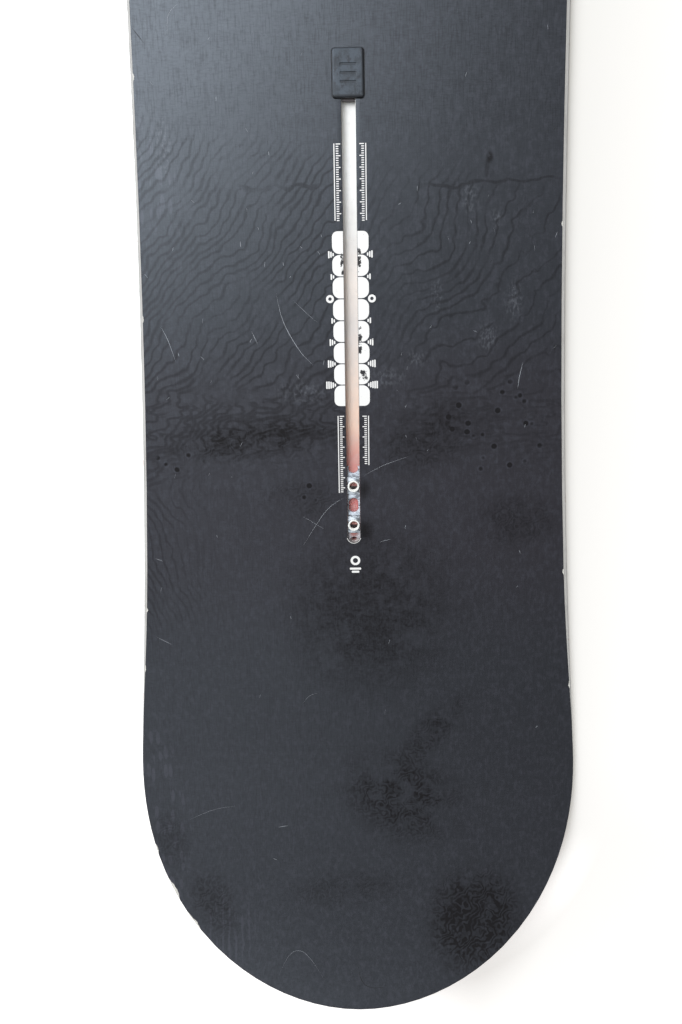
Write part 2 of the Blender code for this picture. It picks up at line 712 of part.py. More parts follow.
def main():
    clear_scene()
    scene = bpy.context.scene.collection
    parts = new_collection("snowboard", scene)
    cutters = new_collection("cutters", scene)
    looks = {
        "base": plain_material("base", (0.72, 0.70, 0.66), 0.35),
        "edge": plain_material("steel", (0.62, 0.63, 0.65), 0.35, 1.0),
        "rubber": plain_material("rubber", (0.03, 0.03, 0.03), 0.8),
        "glass": plain_material("glass_laminate", (0.62, 0.64, 0.52), 0.4),
        "wood": plain_material("wood", (0.66, 0.50, 0.32), 0.6),
        "sidewall": plain_material("sidewall", (0.70, 0.71, 0.72), 0.45),
        "spacer": plain_material("spacer", (0.10, 0.10, 0.11), 0.5),
        "topsheet": plain_material("topsheet", (0.045, 0.052, 0.062), 0.55),
        "rail": plain_material("rail", (0.85, 0.83, 0.78), 0.5),
        "plug": plain_material("plug", (0.035, 0.040, 0.045), 0.7),
        "nut": plain_material("nut", (0.72, 0.74, 0.72), 0.3, 1.0),
        "carrier": plain_material("carrier", (0.66, 0.72, 0.80), 0.4),
    }
    build_layers(parts, cutters, looks)
    for name, side in (("steel_edge_left", -1), ("steel_edge_right", 1)):
        steel_edge(name, side, parts, looks["edge"])
    build_channels(parts, cutters, looks)
    hide_cutters(cutters)
    shade_round_pieces(parts)


main()
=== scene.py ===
"""Finishes, print, wear, threads, floor, light and camera for a slotted snowboard.

Metres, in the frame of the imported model: nose towards +Y, +Z up out of the topsheet.
"""
import json
import math
import random

import bmesh
import bpy
from bpy.props import FloatProperty, FloatVectorProperty, IntProperty, PointerProperty
from mathutils import Matrix, Vector
from mathutils.bvhtree import BVHTree


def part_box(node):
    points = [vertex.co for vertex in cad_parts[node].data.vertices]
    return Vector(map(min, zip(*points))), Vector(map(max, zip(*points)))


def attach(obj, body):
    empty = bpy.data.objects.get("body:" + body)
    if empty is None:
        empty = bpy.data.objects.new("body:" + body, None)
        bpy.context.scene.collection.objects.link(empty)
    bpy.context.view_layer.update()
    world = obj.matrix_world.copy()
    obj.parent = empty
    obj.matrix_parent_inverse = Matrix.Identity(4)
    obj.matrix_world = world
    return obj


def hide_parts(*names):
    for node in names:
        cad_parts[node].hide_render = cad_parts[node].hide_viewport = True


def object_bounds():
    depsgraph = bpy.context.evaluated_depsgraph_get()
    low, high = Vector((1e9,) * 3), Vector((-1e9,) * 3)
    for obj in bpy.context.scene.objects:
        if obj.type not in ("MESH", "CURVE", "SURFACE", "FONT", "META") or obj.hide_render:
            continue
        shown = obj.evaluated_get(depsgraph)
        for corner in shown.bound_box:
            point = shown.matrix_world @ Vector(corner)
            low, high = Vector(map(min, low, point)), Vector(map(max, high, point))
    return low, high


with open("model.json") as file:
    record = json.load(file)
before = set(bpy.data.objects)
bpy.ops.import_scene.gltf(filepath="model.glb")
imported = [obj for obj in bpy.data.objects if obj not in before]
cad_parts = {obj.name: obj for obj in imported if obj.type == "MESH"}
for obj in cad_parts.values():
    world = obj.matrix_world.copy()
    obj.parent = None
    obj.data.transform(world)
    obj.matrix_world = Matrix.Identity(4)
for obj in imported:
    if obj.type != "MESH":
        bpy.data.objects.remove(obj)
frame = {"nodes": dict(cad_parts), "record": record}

bl_info = {
    "name": "Snowboard finishes",
    "version": (1, 0, 0),
    "blender": (4, 5, 0),
    "location": "View3D > Sidebar > Snowboard",
    "description": "Dresses the slotted snowboard, its print, its wear and its studio",
    "category": "Object",
}

CAD_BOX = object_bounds()
MOUNTS = {mount["name"]: Vector(mount["pos_m"]) for mount in frame["record"]["mounts"]}
FRONT_MARK = MOUNTS["binding_seat_front"].y
REAR_MARK = MOUNTS["binding_seat_rear"].y
WAIST = (FRONT_MARK + REAR_MARK) / 2
HALF_STANCE = (FRONT_MARK - REAR_MARK) / 2
DECK_Z = MOUNTS["binding_seat_rear"].z
FEET = {"front": 1, "rear": -1}
MM = 0.001

CHAMFER = 0.00012                   # of the CAD pieces' sharp edges
SHARP_ANGLE = math.radians(30)
WELD_REACH = 1e-6
FACE_WEIGHT = 80
PRINT_SINK = 0.00001                # of print laid on the deck, below the deck's top
PRINT_RISE = 0.00003                # and above it


def joined(operation, swapped=False):
    """A method of Wire that joins it and another value with a Math node."""
    def join(wire, other):
        return wire.math(operation, *((other, wire) if swapped else (wire, other)))
    return join


class Wire:
    """A shader socket as a value in sums: each operator adds a Math node to the finish."""

    def __init__(self, finish, socket):
        self.finish = finish
        self.socket = socket

    def math(self, operation, *values, clamp=False):
        settings = {"operation": operation, "use_clamp": clamp}
        return self.finish.node("ShaderNodeMath", settings, dict(enumerate(values)))

    __add__, __radd__ = joined("ADD"), joined("ADD", swapped=True)
    __sub__, __rsub__ = joined("SUBTRACT"), joined("SUBTRACT", swapped=True)
    __mul__, __rmul__ = joined("MULTIPLY"), joined("MULTIPLY", swapped=True)
    __truediv__, __pow__, most = joined("DIVIDE"), joined("POWER"), joined("MAXIMUM")

    def __abs__(self):
        return self.math("ABSOLUTE", self)

    def fraction(self):
        return self.math("FRACT", self)

    def stepped(self, pitch, depth):
        """Climbs in soft steps, with level treads at a depth of 1."""
        turn = 2 * math.pi / pitch
        return self + self.math("SINE", self * turn) * (depth / turn)

    def lines(self, width, soft):
        """1 on a line in the middle of every turn, of the given share of it, and 0 between."""
        return abs(self.fraction() - 0.5).fall(width / 2, width / 2 + soft)

    def clamped(self):
        return self.math("ADD", self, 0.0, clamp=True)

    def step(self, low, high, start=0.0, end=1.0):
        """Goes smoothly from start to end as this value goes from low to high."""
        ends = {"Value": self, "From Min": low, "From Max": high, "To Min": start, "To Max": end}
        return self.finish.node("ShaderNodeMapRange", {"interpolation_type": "SMOOTHSTEP"}, ends)

    def fall(self, low, high):
        """Goes smoothly from 1 down to 0 as this value goes from low to high."""
        return self.step(low, high, 1.0, 0.0)


class Finish:
    """A material in the making, whose places are the part's own coordinates."""

    MIX_COLOURS = (6, 7)
    MIX_RESULT = 2

    def __init__(self, name, colour, roughness, metallic=0.0):
        self.material = bpy.data.materials.new(name)
        self.material.use_nodes = True
        self.tree = self.material.node_tree
        self.shader = self.tree.nodes["Principled BSDF"]
        self.set("Base Color", (*colour, 1.0))
        self.set("Roughness", roughness)
        self.set("Metallic", metallic)
        self.place = self.node("ShaderNodeTexCoord", output="Object")
        self.x, self.y, self.z = self.axes(self.place)

    def node(self, kind, settings=None, inputs=None, output=0):
        """Adds a node: its settings first, then the values or links of its sockets."""
        made = self.tree.nodes.new(kind)
        for name, value in (settings or {}).items():
            if name == "stops":
                self.set_stops(made.color_ramp, value)
            else:
                setattr(made, name, value)
        for name, value in (inputs or {}).items():
            self.connect(made.inputs[name], value)
        return Wire(self, made.outputs[output])

    def connect(self, socket, value):
        if isinstance(value, Wire):
            self.tree.links.new(value.socket, socket)
        else:
            socket.default_value = value

    @staticmethod
    def set_stops(ramp, stops):
        while len(ramp.elements) < len(stops):
            ramp.elements.new(1.0)
        for element, (position, colour) in zip(ramp.elements, stops):
            element.position = position
            element.color = (*colour, 1.0)

    def set(self, name, value):
        self.connect(self.shader.inputs[name], value)

    def axes(self, place):
        inputs = {"Vector": place}
        return [self.node("ShaderNodeSeparateXYZ", inputs=inputs, output=axis) for axis in "XYZ"]

    def moved(self, x=0.0, y=0.0, z=0.0, place=None):
        inputs = {0: place or self.place, 1: (x, y, z)}
        return self.node("ShaderNodeVectorMath", {"operation": "ADD"}, inputs)

    def stretched(self, x=1.0, y=1.0, z=1.0, place=None):
        inputs = {0: place or self.place, 1: (x, y, z)}
        return self.node("ShaderNodeVectorMath", {"operation": "MULTIPLY"}, inputs)

    def noise(self, size, detail=2.0, roughness=0.5, place=None, shift=0.0, **squeeze):
        """Cloudy noise from 0 to 1, in blotches about the given size, longer where squeezed."""
        where = self.stretched(place=place, **squeeze) if squeeze else place or self.place
        if shift:
            where = self.moved(shift, shift, shift, where)
        inputs = {"Vector": where, "Scale": 1.0 / size, "Detail": detail, "Roughness": roughness}
        return self.node("ShaderNodeTexNoise", inputs=inputs)

    def mix(self, factor, first, second):
        """A colour between two colours."""
        first, second = ((*c, 1.0) if isinstance(c, tuple) else c for c in (first, second))
        inputs = {0: factor, self.MIX_COLOURS[0]: first, self.MIX_COLOURS[1]: second}
        return self.node("ShaderNodeMix", {"data_type": "RGBA"}, inputs, self.MIX_RESULT)

    def layers(self, colour, *coats):
        """A colour with coats over it, each a mask and a colour."""
        for mask, coat in coats:
            colour = self.mix(mask, colour, coat)
        return colour

    def ramp(self, value, stops):
        return self.node("ShaderNodeValToRGB", {"stops": stops}, {"Fac": value})

    def cells(self, size, place=None, randomness=1.0):
        """Distance to the nearest of points strewn about the given size apart, in that size."""
        inputs = {"Vector": place or self.place, "Scale": 1.0 / size, "Randomness": randomness}
        return self.node("ShaderNodeTexVoronoi", {"feature": "F1"}, inputs, "Distance")

    def patch(self, centre, radii, angle=0.0, soft=0.5, y=None):
        """A soft oval mask: 1 inside and 0 outside."""
        turn = Matrix.Rotation(-angle, 2)
        dx, dy = self.x - centre[0], (y or self.y) - centre[1]
        across = (dx * turn[0][0] + dy * turn[0][1]) / radii[0]
        along = (dx * turn[1][0] + dy * turn[1][1]) / radii[1]
        reach = (across * across + along * along) ** 0.5
        return reach.fall(1.0 - soft, 1.0 + soft)

    def paint_over(self, factor, colour, roughness, specular):
        """Lays a second, plain paint over the first where the factor is 1."""
        above = self.node("ShaderNodeBsdfPrincipled", inputs={
            "Base Color": (*colour, 1.0), "Roughness": roughness, "Specular IOR Level": specular})
        below = Wire(self, self.shader.outputs[0])
        both = self.node("ShaderNodeMixShader", inputs={0: factor, 1: below, 2: above})
        self.connect(self.tree.nodes["Material Output"].inputs["Surface"], both)

    def bump(self, height, depth):
        """Height runs from 0 to 1, and depth is the height of 1 in metres."""
        inputs = {"Height": height, "Distance": depth, "Strength": 1.0}
        self.set("Normal", self.node("ShaderNodeBump", inputs=inputs))

    def surface(self, colour, roughness, height, depth):
        """Sets the colour, the roughness and the bump."""
        self.set("Base Color", colour)
        self.set("Roughness", roughness)
        self.bump(height, depth)
        return self


def colour_property(name, description, colour):
    return FloatVectorProperty(name=name, description=description, default=colour, size=3,
                               min=0.0, max=1.0, subtype="COLOR")


def number_property(name, description, default, **kind):
    return FloatProperty(name=name, description=description, default=default, **kind)


def length_property(name, description, metres):
    return number_property(name, description, metres, unit="LENGTH", precision=5)


class TopsheetSettings(bpy.types.PropertyGroup):
    """Colours and sizes of the topsheet's printed grain."""
    ink: colour_property("Ink", "Main colour of the topsheet", (0.0104, 0.0100, 0.0136))
    grain_ink: colour_property("Grain ink", "Colour of the grain lines", (0.008, 0.0075, 0.009))
    grain_pitch: length_property("Grain pitch", "Distance between the grain lines", 0.0090)
    grain_line: length_property("Grain line", "Width of a grain line", 0.0013)
    thread: length_property("Thread", "Width of the threads seen in the surface", 0.0007)
    roughness: number_property("Roughness", "Roughness of clean topsheet", 0.38)


class PrintSettings(bpy.types.PropertyGroup):
    """Sizes of the plain scale that is printed beside each slot."""
    ink: colour_property("Ink", "Colour of the printed scale", (0.83, 0.83, 0.82))
    band_width: length_property("Band width", "Width of the white band across the slot", 0.0210)
    band_length: length_property("Band length", "Length of the white band", 0.1004)
    band_centre: length_property("Band centre", "Band's middle, outwards from the mark", 0.0123)
    band_corner: length_property("Band corner", "Radius of the band's corners", 0.0032)
    pitch: length_property("Mark pitch", "Distance between two stance marks", 0.0125)
    marks: IntProperty(name="Marks", description="Number of stance marks", default=7)
    line: length_property("Line width", "Width of the fine printed lines", 0.00055)
    notch: length_property("Notch", "Radius of the notches in the band at the marks", 0.0042)


class HardwareSettings(bpy.types.PropertyGroup):
    """Sizes of the threaded inserts."""
    thread_pitch: length_property("Thread pitch", "Pitch of the screw thread in each nut", 0.0010)
    thread_depth: length_property("Thread depth", "Depth of the screw thread", 0.0005)
    chamfer: length_property("Chamfer", "Chamfer of the boss and the flange", 0.00015)
    flange: length_property("Flange", "Thickness of the nut's flange", 0.0012)
    corner: length_property("Corner", "Radius of the flange's corners", 0.0010)
    boss: length_property("Boss", "Diameter of the nut's boss", 0.0070)
    bore: length_property("Bore", "Inner diameter of the screw thread", 0.0049)
    flare: length_property("Flare", "Depth of the countersink at the top of the bore", 0.00025)


class StageSettings(bpy.types.PropertyGroup):
    """Floor, light and camera."""
    floor: colour_property("Floor", "Colour of the floor", (0.76, 0.75, 0.74))
    sky: number_property("Sky", "Strength of the even light from all sides", 0.38)
    key: number_property("Key", "Power of the large lamp", 36.0, unit="POWER")
    fill: number_property("Fill", "Power of the lamp beyond the tail", 1.8, unit="POWER")
    camera: FloatVectorProperty(name="Camera", description="Where the camera hangs", size=3,
                                default=(0.00601, -0.27639, 0.5914), subtype="TRANSLATION",
                                unit="LENGTH")
    tilt: number_property("Tilt", "Lean of the camera from straight down",
                          math.radians(-13.70), subtype="ANGLE")
    turn: number_property("Turn", "Turn of the camera about the vertical",
                          math.radians(-5.572), subtype="ANGLE")
    roll: number_property("Roll", "Turn of the camera about its own axis",
                          math.radians(4.82), subtype="ANGLE")
    lens: number_property("Lens", "Focal length on a 36 mm sensor", 34.37, unit="CAMERA")


def foot_y(foot, reach):
    """World y of a place that lies outwards from a foot's reference mark."""
    return WAIST + FEET[foot] * (HALF_STANCE + reach)


def paint(mesh, finish):
    """Gives a mesh the finish as its only material."""
    mesh.materials.clear()
    mesh.materials.append(finish.material)


def linked(name, data):
    """An object in the scene with that mesh, lamp or camera."""
    made = bpy.data.objects.new(name, data)
    bpy.context.scene.collection.objects.link(made)
    return made


def from_bmesh(name, shape, finish):
    """Closes off a bmesh as an object."""
    bmesh.ops.recalc_face_normals(shape, faces=shape.faces)
    mesh = bpy.data.meshes.new(name)
    shape.to_mesh(mesh)
    shape.free()
    paint(mesh, finish)
    return linked(name, mesh)


def add_modifier(piece, kind, **settings):
    modifier = piece.modifiers.new(kind.title(), kind)
    for name, value in settings.items():
        setattr(modifier, name, value)


def dress(node, finish):
    """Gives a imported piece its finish, chamfers its sharp edges and evens out its shading."""
    piece = frame["nodes"][node]
    mesh = piece.data
    if "custom_normal" in mesh.attributes:
        mesh.attributes.remove(mesh.attributes["custom_normal"])
    mesh.shade_smooth()
    paint(mesh, finish)
    add_modifier(piece, "WELD", merge_threshold=WELD_REACH)
    add_modifier(piece, "BEVEL", width=CHAMFER, segments=1, limit_method="ANGLE",
                 angle_limit=SHARP_ANGLE, use_clamp_overlap=True)
    add_modifier(piece, "WEIGHTED_NORMAL", mode="FACE_AREA", weight=FACE_WEIGHT)


def baked_mesh(piece):
    """The piece's mesh with its modifiers applied."""
    graph = bpy.context.evaluated_depsgraph_get()
    return bpy.data.meshes.new_from_object(piece.evaluated_get(graph))


def reach_of(y):
    """Distance outwards from the nearer foot's reference mark."""
    return abs(y - WAIST) - HALF_STANCE


def rounded_outline(low, high, radii, steps=6):
    """A rectangle in plan, anticlockwise from its low corner, with a radius at each corner."""
    corners = ((low[0], low[1], 1, 1), (high[0], low[1], -1, 1),
               (high[0], high[1], -1, -1), (low[0], high[1], 1, -1))
    points = []
    for quarter, ((x, y, inward_x, inward_y), radius) in enumerate(zip(corners, radii)):
        for step in range(steps + 1 if radius else 1):
            turn = math.pi + (quarter + step / steps) * math.pi / 2
            across, along = inward_x + math.cos(turn), inward_y + math.sin(turn)
            points.append((x + radius * across, y + radius * along))
    return points


def add_plate(shape, points, low, high):
    """A closed plate on an outline in plan."""
    under, over = ([shape.verts.new((x, y, z)) for x, y in points] for z in (low, high))
    for ring in (under, over):
        shape.faces.new(ring)
    for corner in range(len(points)):
        shape.faces.new((under[corner - 1], under[corner], over[corner], over[corner - 1]))


def add_arc(shape, centre, radii, low, high, steps, start=0.0, sweep=2 * math.pi):
    """A closed ring, or part of one, with a rectangular section."""
    full = sweep >= 2 * math.pi
    section = ((radii[0], low), (radii[1], low), (radii[1], high), (radii[0], high))
    sections = []
    for step in range(steps + (not full)):
        turn = start + sweep * step / steps
        places = ((centre[0] + radius * math.cos(turn), centre[1] + radius * math.sin(turn), z)
                  for radius, z in section)
        sections.append([shape.verts.new(place) for place in places])
    for near, far in zip(sections, sections[1:] + sections[:1] * full):
        for corner in range(4):
            shape.faces.new((near[corner - 1], near[corner], far[corner], far[corner - 1]))
    if not full:
        for end in (sections[0], sections[-1]):
            shape.faces.new(end)


class Deck:
    """The top of the topsheet, on which thin pieces are laid."""

    ABOVE = 1.0                     # where a ray starts
    BEYOND = 0.2                    # an x outside the board
    HALVINGS = 16
    SINK = 0.00002                  # how deep slivers reach

    def __init__(self):
        mesh = frame["nodes"]["topsheet"].data
        corners = [vertex.co for vertex in mesh.vertices]
        self.tree = BVHTree.FromPolygons(corners, [polygon.vertices for polygon in mesh.polygons])

    def height(self, x, y):
        """World z of the deck there, or None beyond its outline."""
        hit = self.tree.ray_cast(Vector((x, y, self.ABOVE)), Vector((0.0, 0.0, -1.0)))[0]
        return hit.z if hit else None

    def rim(self, side, y):
        """World x of the deck's outline at that y, on the side of that sign."""
        inside, outside = 0.0, side * self.BEYOND
        for _ in range(self.HALVINGS):
            middle = (inside + outside) / 2
            if self.height(middle, y) is None:
                outside = middle
            else:
                inside = middle
        return inside

    def add_sliver(self, shape, points, width, rise):
        """A closed scratch or thread that follows the points and narrows to both ends."""
        count = len(points)
        sections = []
        for index, point in enumerate(points):
            ahead = points[min(index + 1, count - 1)] - points[max(index - 1, 0)]
            swell = math.sin(math.pi * index / (count - 1))
            aside = Vector((-ahead.y, ahead.x)).normalized() * width / 2 * swell
            z = self.height(*point)
            if z is None:
                raise ValueError(f"a sliver leaves the deck at {point}")
            if index in (0, count - 1):
                sections.append([shape.verts.new((*point, z - self.SINK))])
            else:
                spots = ((point - aside, -self.SINK), (point + aside, -self.SINK), (point, rise))
                sections.append([shape.verts.new((*place, z + lift)) for place, lift in spots])
        for near, far in zip(sections, sections[1:]):
            for corner in range(3):
                ends = [[ring[corner - 1], ring[corner]] if len(ring) == 3 else ring[:]
                        for ring in (near, far)]
                shape.faces.new(ends[0] + ends[1][::-1])


def curve_points(stops, steps=8):
    """Points in plan along a smooth curve through the stops, which are in millimetres."""
    stops = [Vector(stop) * MM for stop in stops]
    padded = [stops[0] * 2 - stops[1], *stops, stops[-1] * 2 - stops[-2]]
    points = []
    for before, start, end, after in zip(padded, padded[1:], padded[2:], padded[3:]):
        for step in range(steps):
            share = step / steps
            level, rise = start, (end - before) / 2
            bend = before - start * 2.5 + end * 2 - after / 2
            twist = (after - before) / 2 + (start - end) * 1.5
            points.append(level + rise * share + bend * share ** 2 + twist * share ** 3)
    return [*points, stops[-1]]


LEDGES = (          # start and end across the board, distance outwards, and slope, of each ledge
    (0.040, 0.170, -0.0590, -0.055),
    (-0.066, -0.014, -0.0625, 0.0),
)
STAINS = (          # middle, radii, angle and depth of each dark stain
    ((0.012, -0.482), (0.044, 0.046), 0.0, 0.75), ((0.030, -0.612), (0.034, 0.024), -0.4, 0.85),
    ((0.077, -0.693), (0.025, 0.028), -0.5, 1.2), ((0.050, -0.564), (0.009, 0.026), -0.7, 0.6),
    ((0.099, -0.424), (0.022, 0.014), 0.0, 0.5), ((-0.060, -0.372), (0.046, 0.010), 0.1, 0.6),
    ((0.045, -0.372), (0.030, 0.016), 0.4, 0.6), ((-0.030, -0.410), (0.022, 0.012), 0.0, 0.4),
    ((-0.096, -0.683), (0.012, 0.020), 0.5, 0.5), ((-0.008, -0.674), (0.034, 0.010), 0.1, 0.35),
    ((-0.124, -0.641), (0.010, 0.016), 0.2, 0.35),
)
DROP_FIELDS = (     # middle and radii of each place with dried drops
    ((0.084, -0.366), (0.034, 0.030)), ((-0.026, -0.405), (0.014, 0.010)),
    ((-0.105, -0.386), (0.014, 0.012)),
)
SCUFFS = (          # middle and radii of each pale scuff
    ((0.068, -0.235), (0.004, 0.007)), ((0.0835, -0.246), (0.003, 0.004)),
    ((0.0945, -0.293), (0.0045, 0.009)), ((0.050, -0.289), (0.003, 0.008)),
    ((0.080, -0.313), (0.005, 0.007)), ((0.018, -0.336), (0.011, 0.005)),
    ((0.038, -0.325), (0.005, 0.004)), ((-0.030, -0.344), (0.012, 0.006)),
    ((-0.105, -0.205), (0.004, 0.012)),
)
DARK_SPOTS_AND_SHADOWS = (           # middle, radii, softness and depth of each dark spot; the first two are painted shadow beside the rear inserts' bosses
    ((0.0062, -0.4035), (0.0035, 0.0052), 0.9, 1.0),
    ((0.0066, -0.4290), (0.0040, 0.0060), 0.9, 1.0),
    ((0.0775, -0.2195), (0.0013, 0.0050), 0.5, 0.5),
)


def patches(finish, rows, soft):
    """The sum of soft ovals, each with a middle and two radii."""
    return sum(finish.patch(middle, radii, soft=soft) for middle, radii in rows)


def grain_height(finish, look, dx=0.0, dy=0.0):
    """Height, in lines, of the map whose contours are the grain, at a place moved by dx and dy."""
    place = finish.moved(dx, dy)
    x, y, _ = finish.axes(place)
    reach = reach_of(y)
    down, aside = reach.stepped(0.0088, 0.35), x.stepped(0.0074, 0.35)
    folds = finish.cells(0.038, place) * 2.6 + finish.noise(0.085, 1.0, place=place) * 4.2
    ripple = finish.noise(0.0055, 1.0, place=place, shift=3.0) * 0.35
    ripple = ripple + finish.noise(0.014, 1.0, place=place, shift=5.0) * 0.9

    slant = (down - 0.01) * (1.0 - aside * 3.2) + (aside - aside * aside * 1.6) * 1.05
    islands = finish.noise(0.0105, 2.0, place=place, x=0.45, shift=9.0) - 0.5
    islands = islands * reach.step(0.040, 0.062) * 6.0
    knot = (((aside + 0.142) * 1.1) ** 2.0 + ((down - 0.205) * 0.55) ** 2.0) ** 0.5
    to_knot = reach.step(0.096, 0.120)
    rings = knot / (look.grain_pitch * 0.50) - 13.5
    return (slant / look.grain_pitch + islands) * (1.0 - to_knot) + rings * to_knot + folds + ripple


def grain_lines(finish, look):
    """1 on the grain's contour lines, which keep their width however steep the map is."""
    apart = 0.0004
    here = grain_height(finish, look)
    over = grain_height(finish, look, dx=apart) - here
    up = grain_height(finish, look, dy=apart) - here
    slope = ((over * over + up * up) ** 0.5) / apart
    away = abs(here.fraction() - 0.5) / slope.most(0.35 / look.grain_pitch)
    swell = finish.noise(0.011, 2.0, shift=15.0).step(0.42, 0.66, 0.75, 1.35)
    reach = reach_of(finish.y)
    rows = reach.step(0.034, 0.056) * reach.fall(0.098, 0.120)
    return (away / (swell * (1.0 + rows * 0.6) * look.grain_line)).fall(0.10, 1.00)


def worn_grain(finish, look, quick):
    """The grain's lines, faded where the print is plain or broken, with the ledges across them."""
    x, reach = finish.x, reach_of(finish.y)
    broken = finish.noise(0.020, 2.0, shift=7.0)
    side = x.fall(-0.125, -0.076) * reach.fall(0.18, 0.23)
    right = x.step(-0.02, 0.05) * reach.step(0.045, 0.060)
    across = reach.fall(0.078, 0.110) * right.step(0.0, 1.0, 1.0, 0.6)
    fades = (
        broken.step(0.32, 0.50, 0.30, 1.0),
        (reach - x * 0.17).step(-0.090, -0.064),
        across.most(side * 0.8),
        1.0 - x.step(-0.060, -0.015, 0.32, 0.0) * reach.fall(0.000, 0.045),
        1.0 - x.step(0.004, 0.010, 0.0, 0.5) * x.fall(0.020, 0.050),
    )
    grain = math.prod(fades, start=grain_lines(finish, look))
    for start, end, level, slope in LEDGES:
        span = x.step(start, start + 0.008) * x.fall(end - 0.008, end)
        ledge = abs(reach - level - x * slope + (quick - 0.5) * 0.009).fall(0.0004, 0.0013)
        grain = grain.most(ledge * span * broken.step(0.35, 0.50, 0.3, 1.0))
    return grain


def rim_print(finish, quick):
    """Pale lozenges and upright bars along the left rim."""
    x, reach = finish.x, reach_of(finish.y)
    dashes = finish.cells(0.0040, finish.stretched(y=0.28), randomness=0.75).fall(0.26, 0.40)
    rim = (finish.patch((-0.122, -0.068), (0.022, 0.030), y=reach, angle=math.radians(-25))
           + finish.patch((-0.130, 0.332), (0.015, 0.058), y=reach, angle=math.radians(-8)))
    bars = (x / 0.0043 + quick).lines(0.16, 0.12)
    bars = bars * finish.patch((-0.088, 0.408), (0.016, 0.022), y=reach)
    worn = finish.noise(0.012, 2.0, y=0.2, shift=6.0).step(0.44, 0.52)
    return dashes * rim.clamped(), bars * worn


def stained(finish, blotch, scribble):
    """Dark stains made of threads, and of fine speckle in the one beyond the slot."""
    reach = reach_of(finish.y)
    stain = sum(finish.patch(*oval, soft=0.6) * depth for *oval, depth in STAINS)
    swirl = finish.noise(0.010, 2.0, shift=12.0) * 8.0
    threads = (swirl + finish.x / 0.007 + reach / 0.009).lines(0.30, 0.20)
    smooth = finish.patch((0.012, -0.482), (0.050, 0.052), soft=0.3).most(reach.fall(0.060, 0.100))
    speckle = finish.noise(0.0022, 3.0, 0.7, shift=13.0).step(0.40, 0.62)
    threads = threads * (1.0 - smooth * 0.75) + smooth * speckle * 0.6
    solid = finish.patch((0.071, -0.690), (0.014, 0.020), -0.4) * 0.9
    solid = blotch.step(0.36, 0.52, 0.15, 1.0).most(solid)
    return stain * solid * (threads * 0.55 + scribble.step(0.40, 0.60, 0.60, 0.30))


def make_topsheet_finish(look):
    """Matt print with cloth showing through, everything that wear has left on it, and painted
    shadow beside the rear inserts' bosses.
    """
    finish = Finish("topsheet_print", tuple(look.ink), look.roughness)
    finish.set("Specular Tint", (0.785, 0.887, 1.0, 1.0))
    finish.set("Specular IOR Level", 0.78)
    reach = reach_of(finish.y)
    quick = finish.noise(0.014, 2.0, shift=3.0)
    blotch = finish.noise(0.024, 5.0, 0.65, shift=11.0)
    scribble = finish.noise(0.0045, 3.0, 0.6, shift=12.0)

    warp = finish.noise(look.thread, 1.0, y=0.08, shift=1.0)
    weft = finish.noise(look.thread, 1.0, x=0.20, shift=2.0)
    cloth = warp.step(0.45, 0.70) * 0.22 + weft.step(0.45, 0.70) * 0.15
    cloth = cloth * (0.45 + reach.step(-0.11, -0.07, 0.55, 0.0) + reach.step(0.10, 0.16, 0.0, 0.2))
    mottle = finish.noise(0.0026, 4.0, 0.7, y=0.6, shift=16.0)
    dashes, bars = rim_print(finish, quick)

    wet = patches(finish, DROP_FIELDS, 0.2)
    spot = finish.cells(0.0085)
    drops = spot.fall(0.14, 0.23) * wet
    halo = spot.step(0.20, 0.25) * spot.fall(0.25, 0.32) * wet
    chafe = finish.noise(0.0014, 3.0, 0.6, y=0.6, shift=14.0).step(0.44, 0.68)
    scuff = patches(finish, SCUFFS, 0.8) * chafe

    pale = (dashes * 1.6 + bars * 1.6 + halo * 0.6 + mottle.step(0.35, 0.75) * 0.9 - 0.2).clamped()
    veil = reach.step(0.0, 0.06) * reach.fall(0.14, 0.24)
    colour = finish.mix(veil, tuple(look.ink), (0.0122, 0.0088, 0.0126))
    colour = finish.layers(colour, (pale, tuple(c * 2.6 for c in look.ink)),
                           ((scuff * 0.6).clamped(), (0.09, 0.095, 0.11)))
    blob = finish.patch((0.0791, -0.2134), (0.0017, 0.0028), soft=0.6)
    blob = blob * scribble.step(0.40, 0.52, 0.3, 1.0)
    # a dark stain, a dark spot, and painted shadow on the deck to the right of each rear insert's
    # boss
    dark_marks = blob + sum(finish.patch(*oval, soft=soft) * depth for *oval, soft, depth in DARK_SPOTS_AND_SHADOWS)
    dark = worn_grain(finish, look, quick) * 0.44 + cloth + stained(finish, blotch, scribble)
    dark = dark + drops * 0.9 + dark_marks * 0.8
    finish.paint_over(dark.clamped(), tuple(look.grain_ink), 0.5, 0.15)
    rough = look.roughness + (blotch - 0.5) * 0.10 - dashes * 0.04 + (mottle - 0.5) * 0.12
    height = (warp + weft) * 0.3 + finish.noise(0.0016, 2.0, shift=5.0) * 0.4
    return finish.surface(colour, rough, height, 0.00002)


def make_plain_finish(name, colour, roughness, grain=0.002):
    """A moulded or milled surface: slightly clouded, slightly uneven."""
    finish = Finish(name, colour, roughness)
    cloud = finish.noise(grain * 8, 3.0)
    fine = finish.noise(grain, 2.0, shift=2.0)
    pale = tuple(min(1.0, c * 1.10) for c in colour)
    dim = tuple(c * 0.88 for c in colour)
    clouded = finish.mix(cloud.step(0.3, 0.7), dim, pale)
    return finish.surface(clouded, roughness + (fine - 0.5) * 0.2, fine, 0.00002)


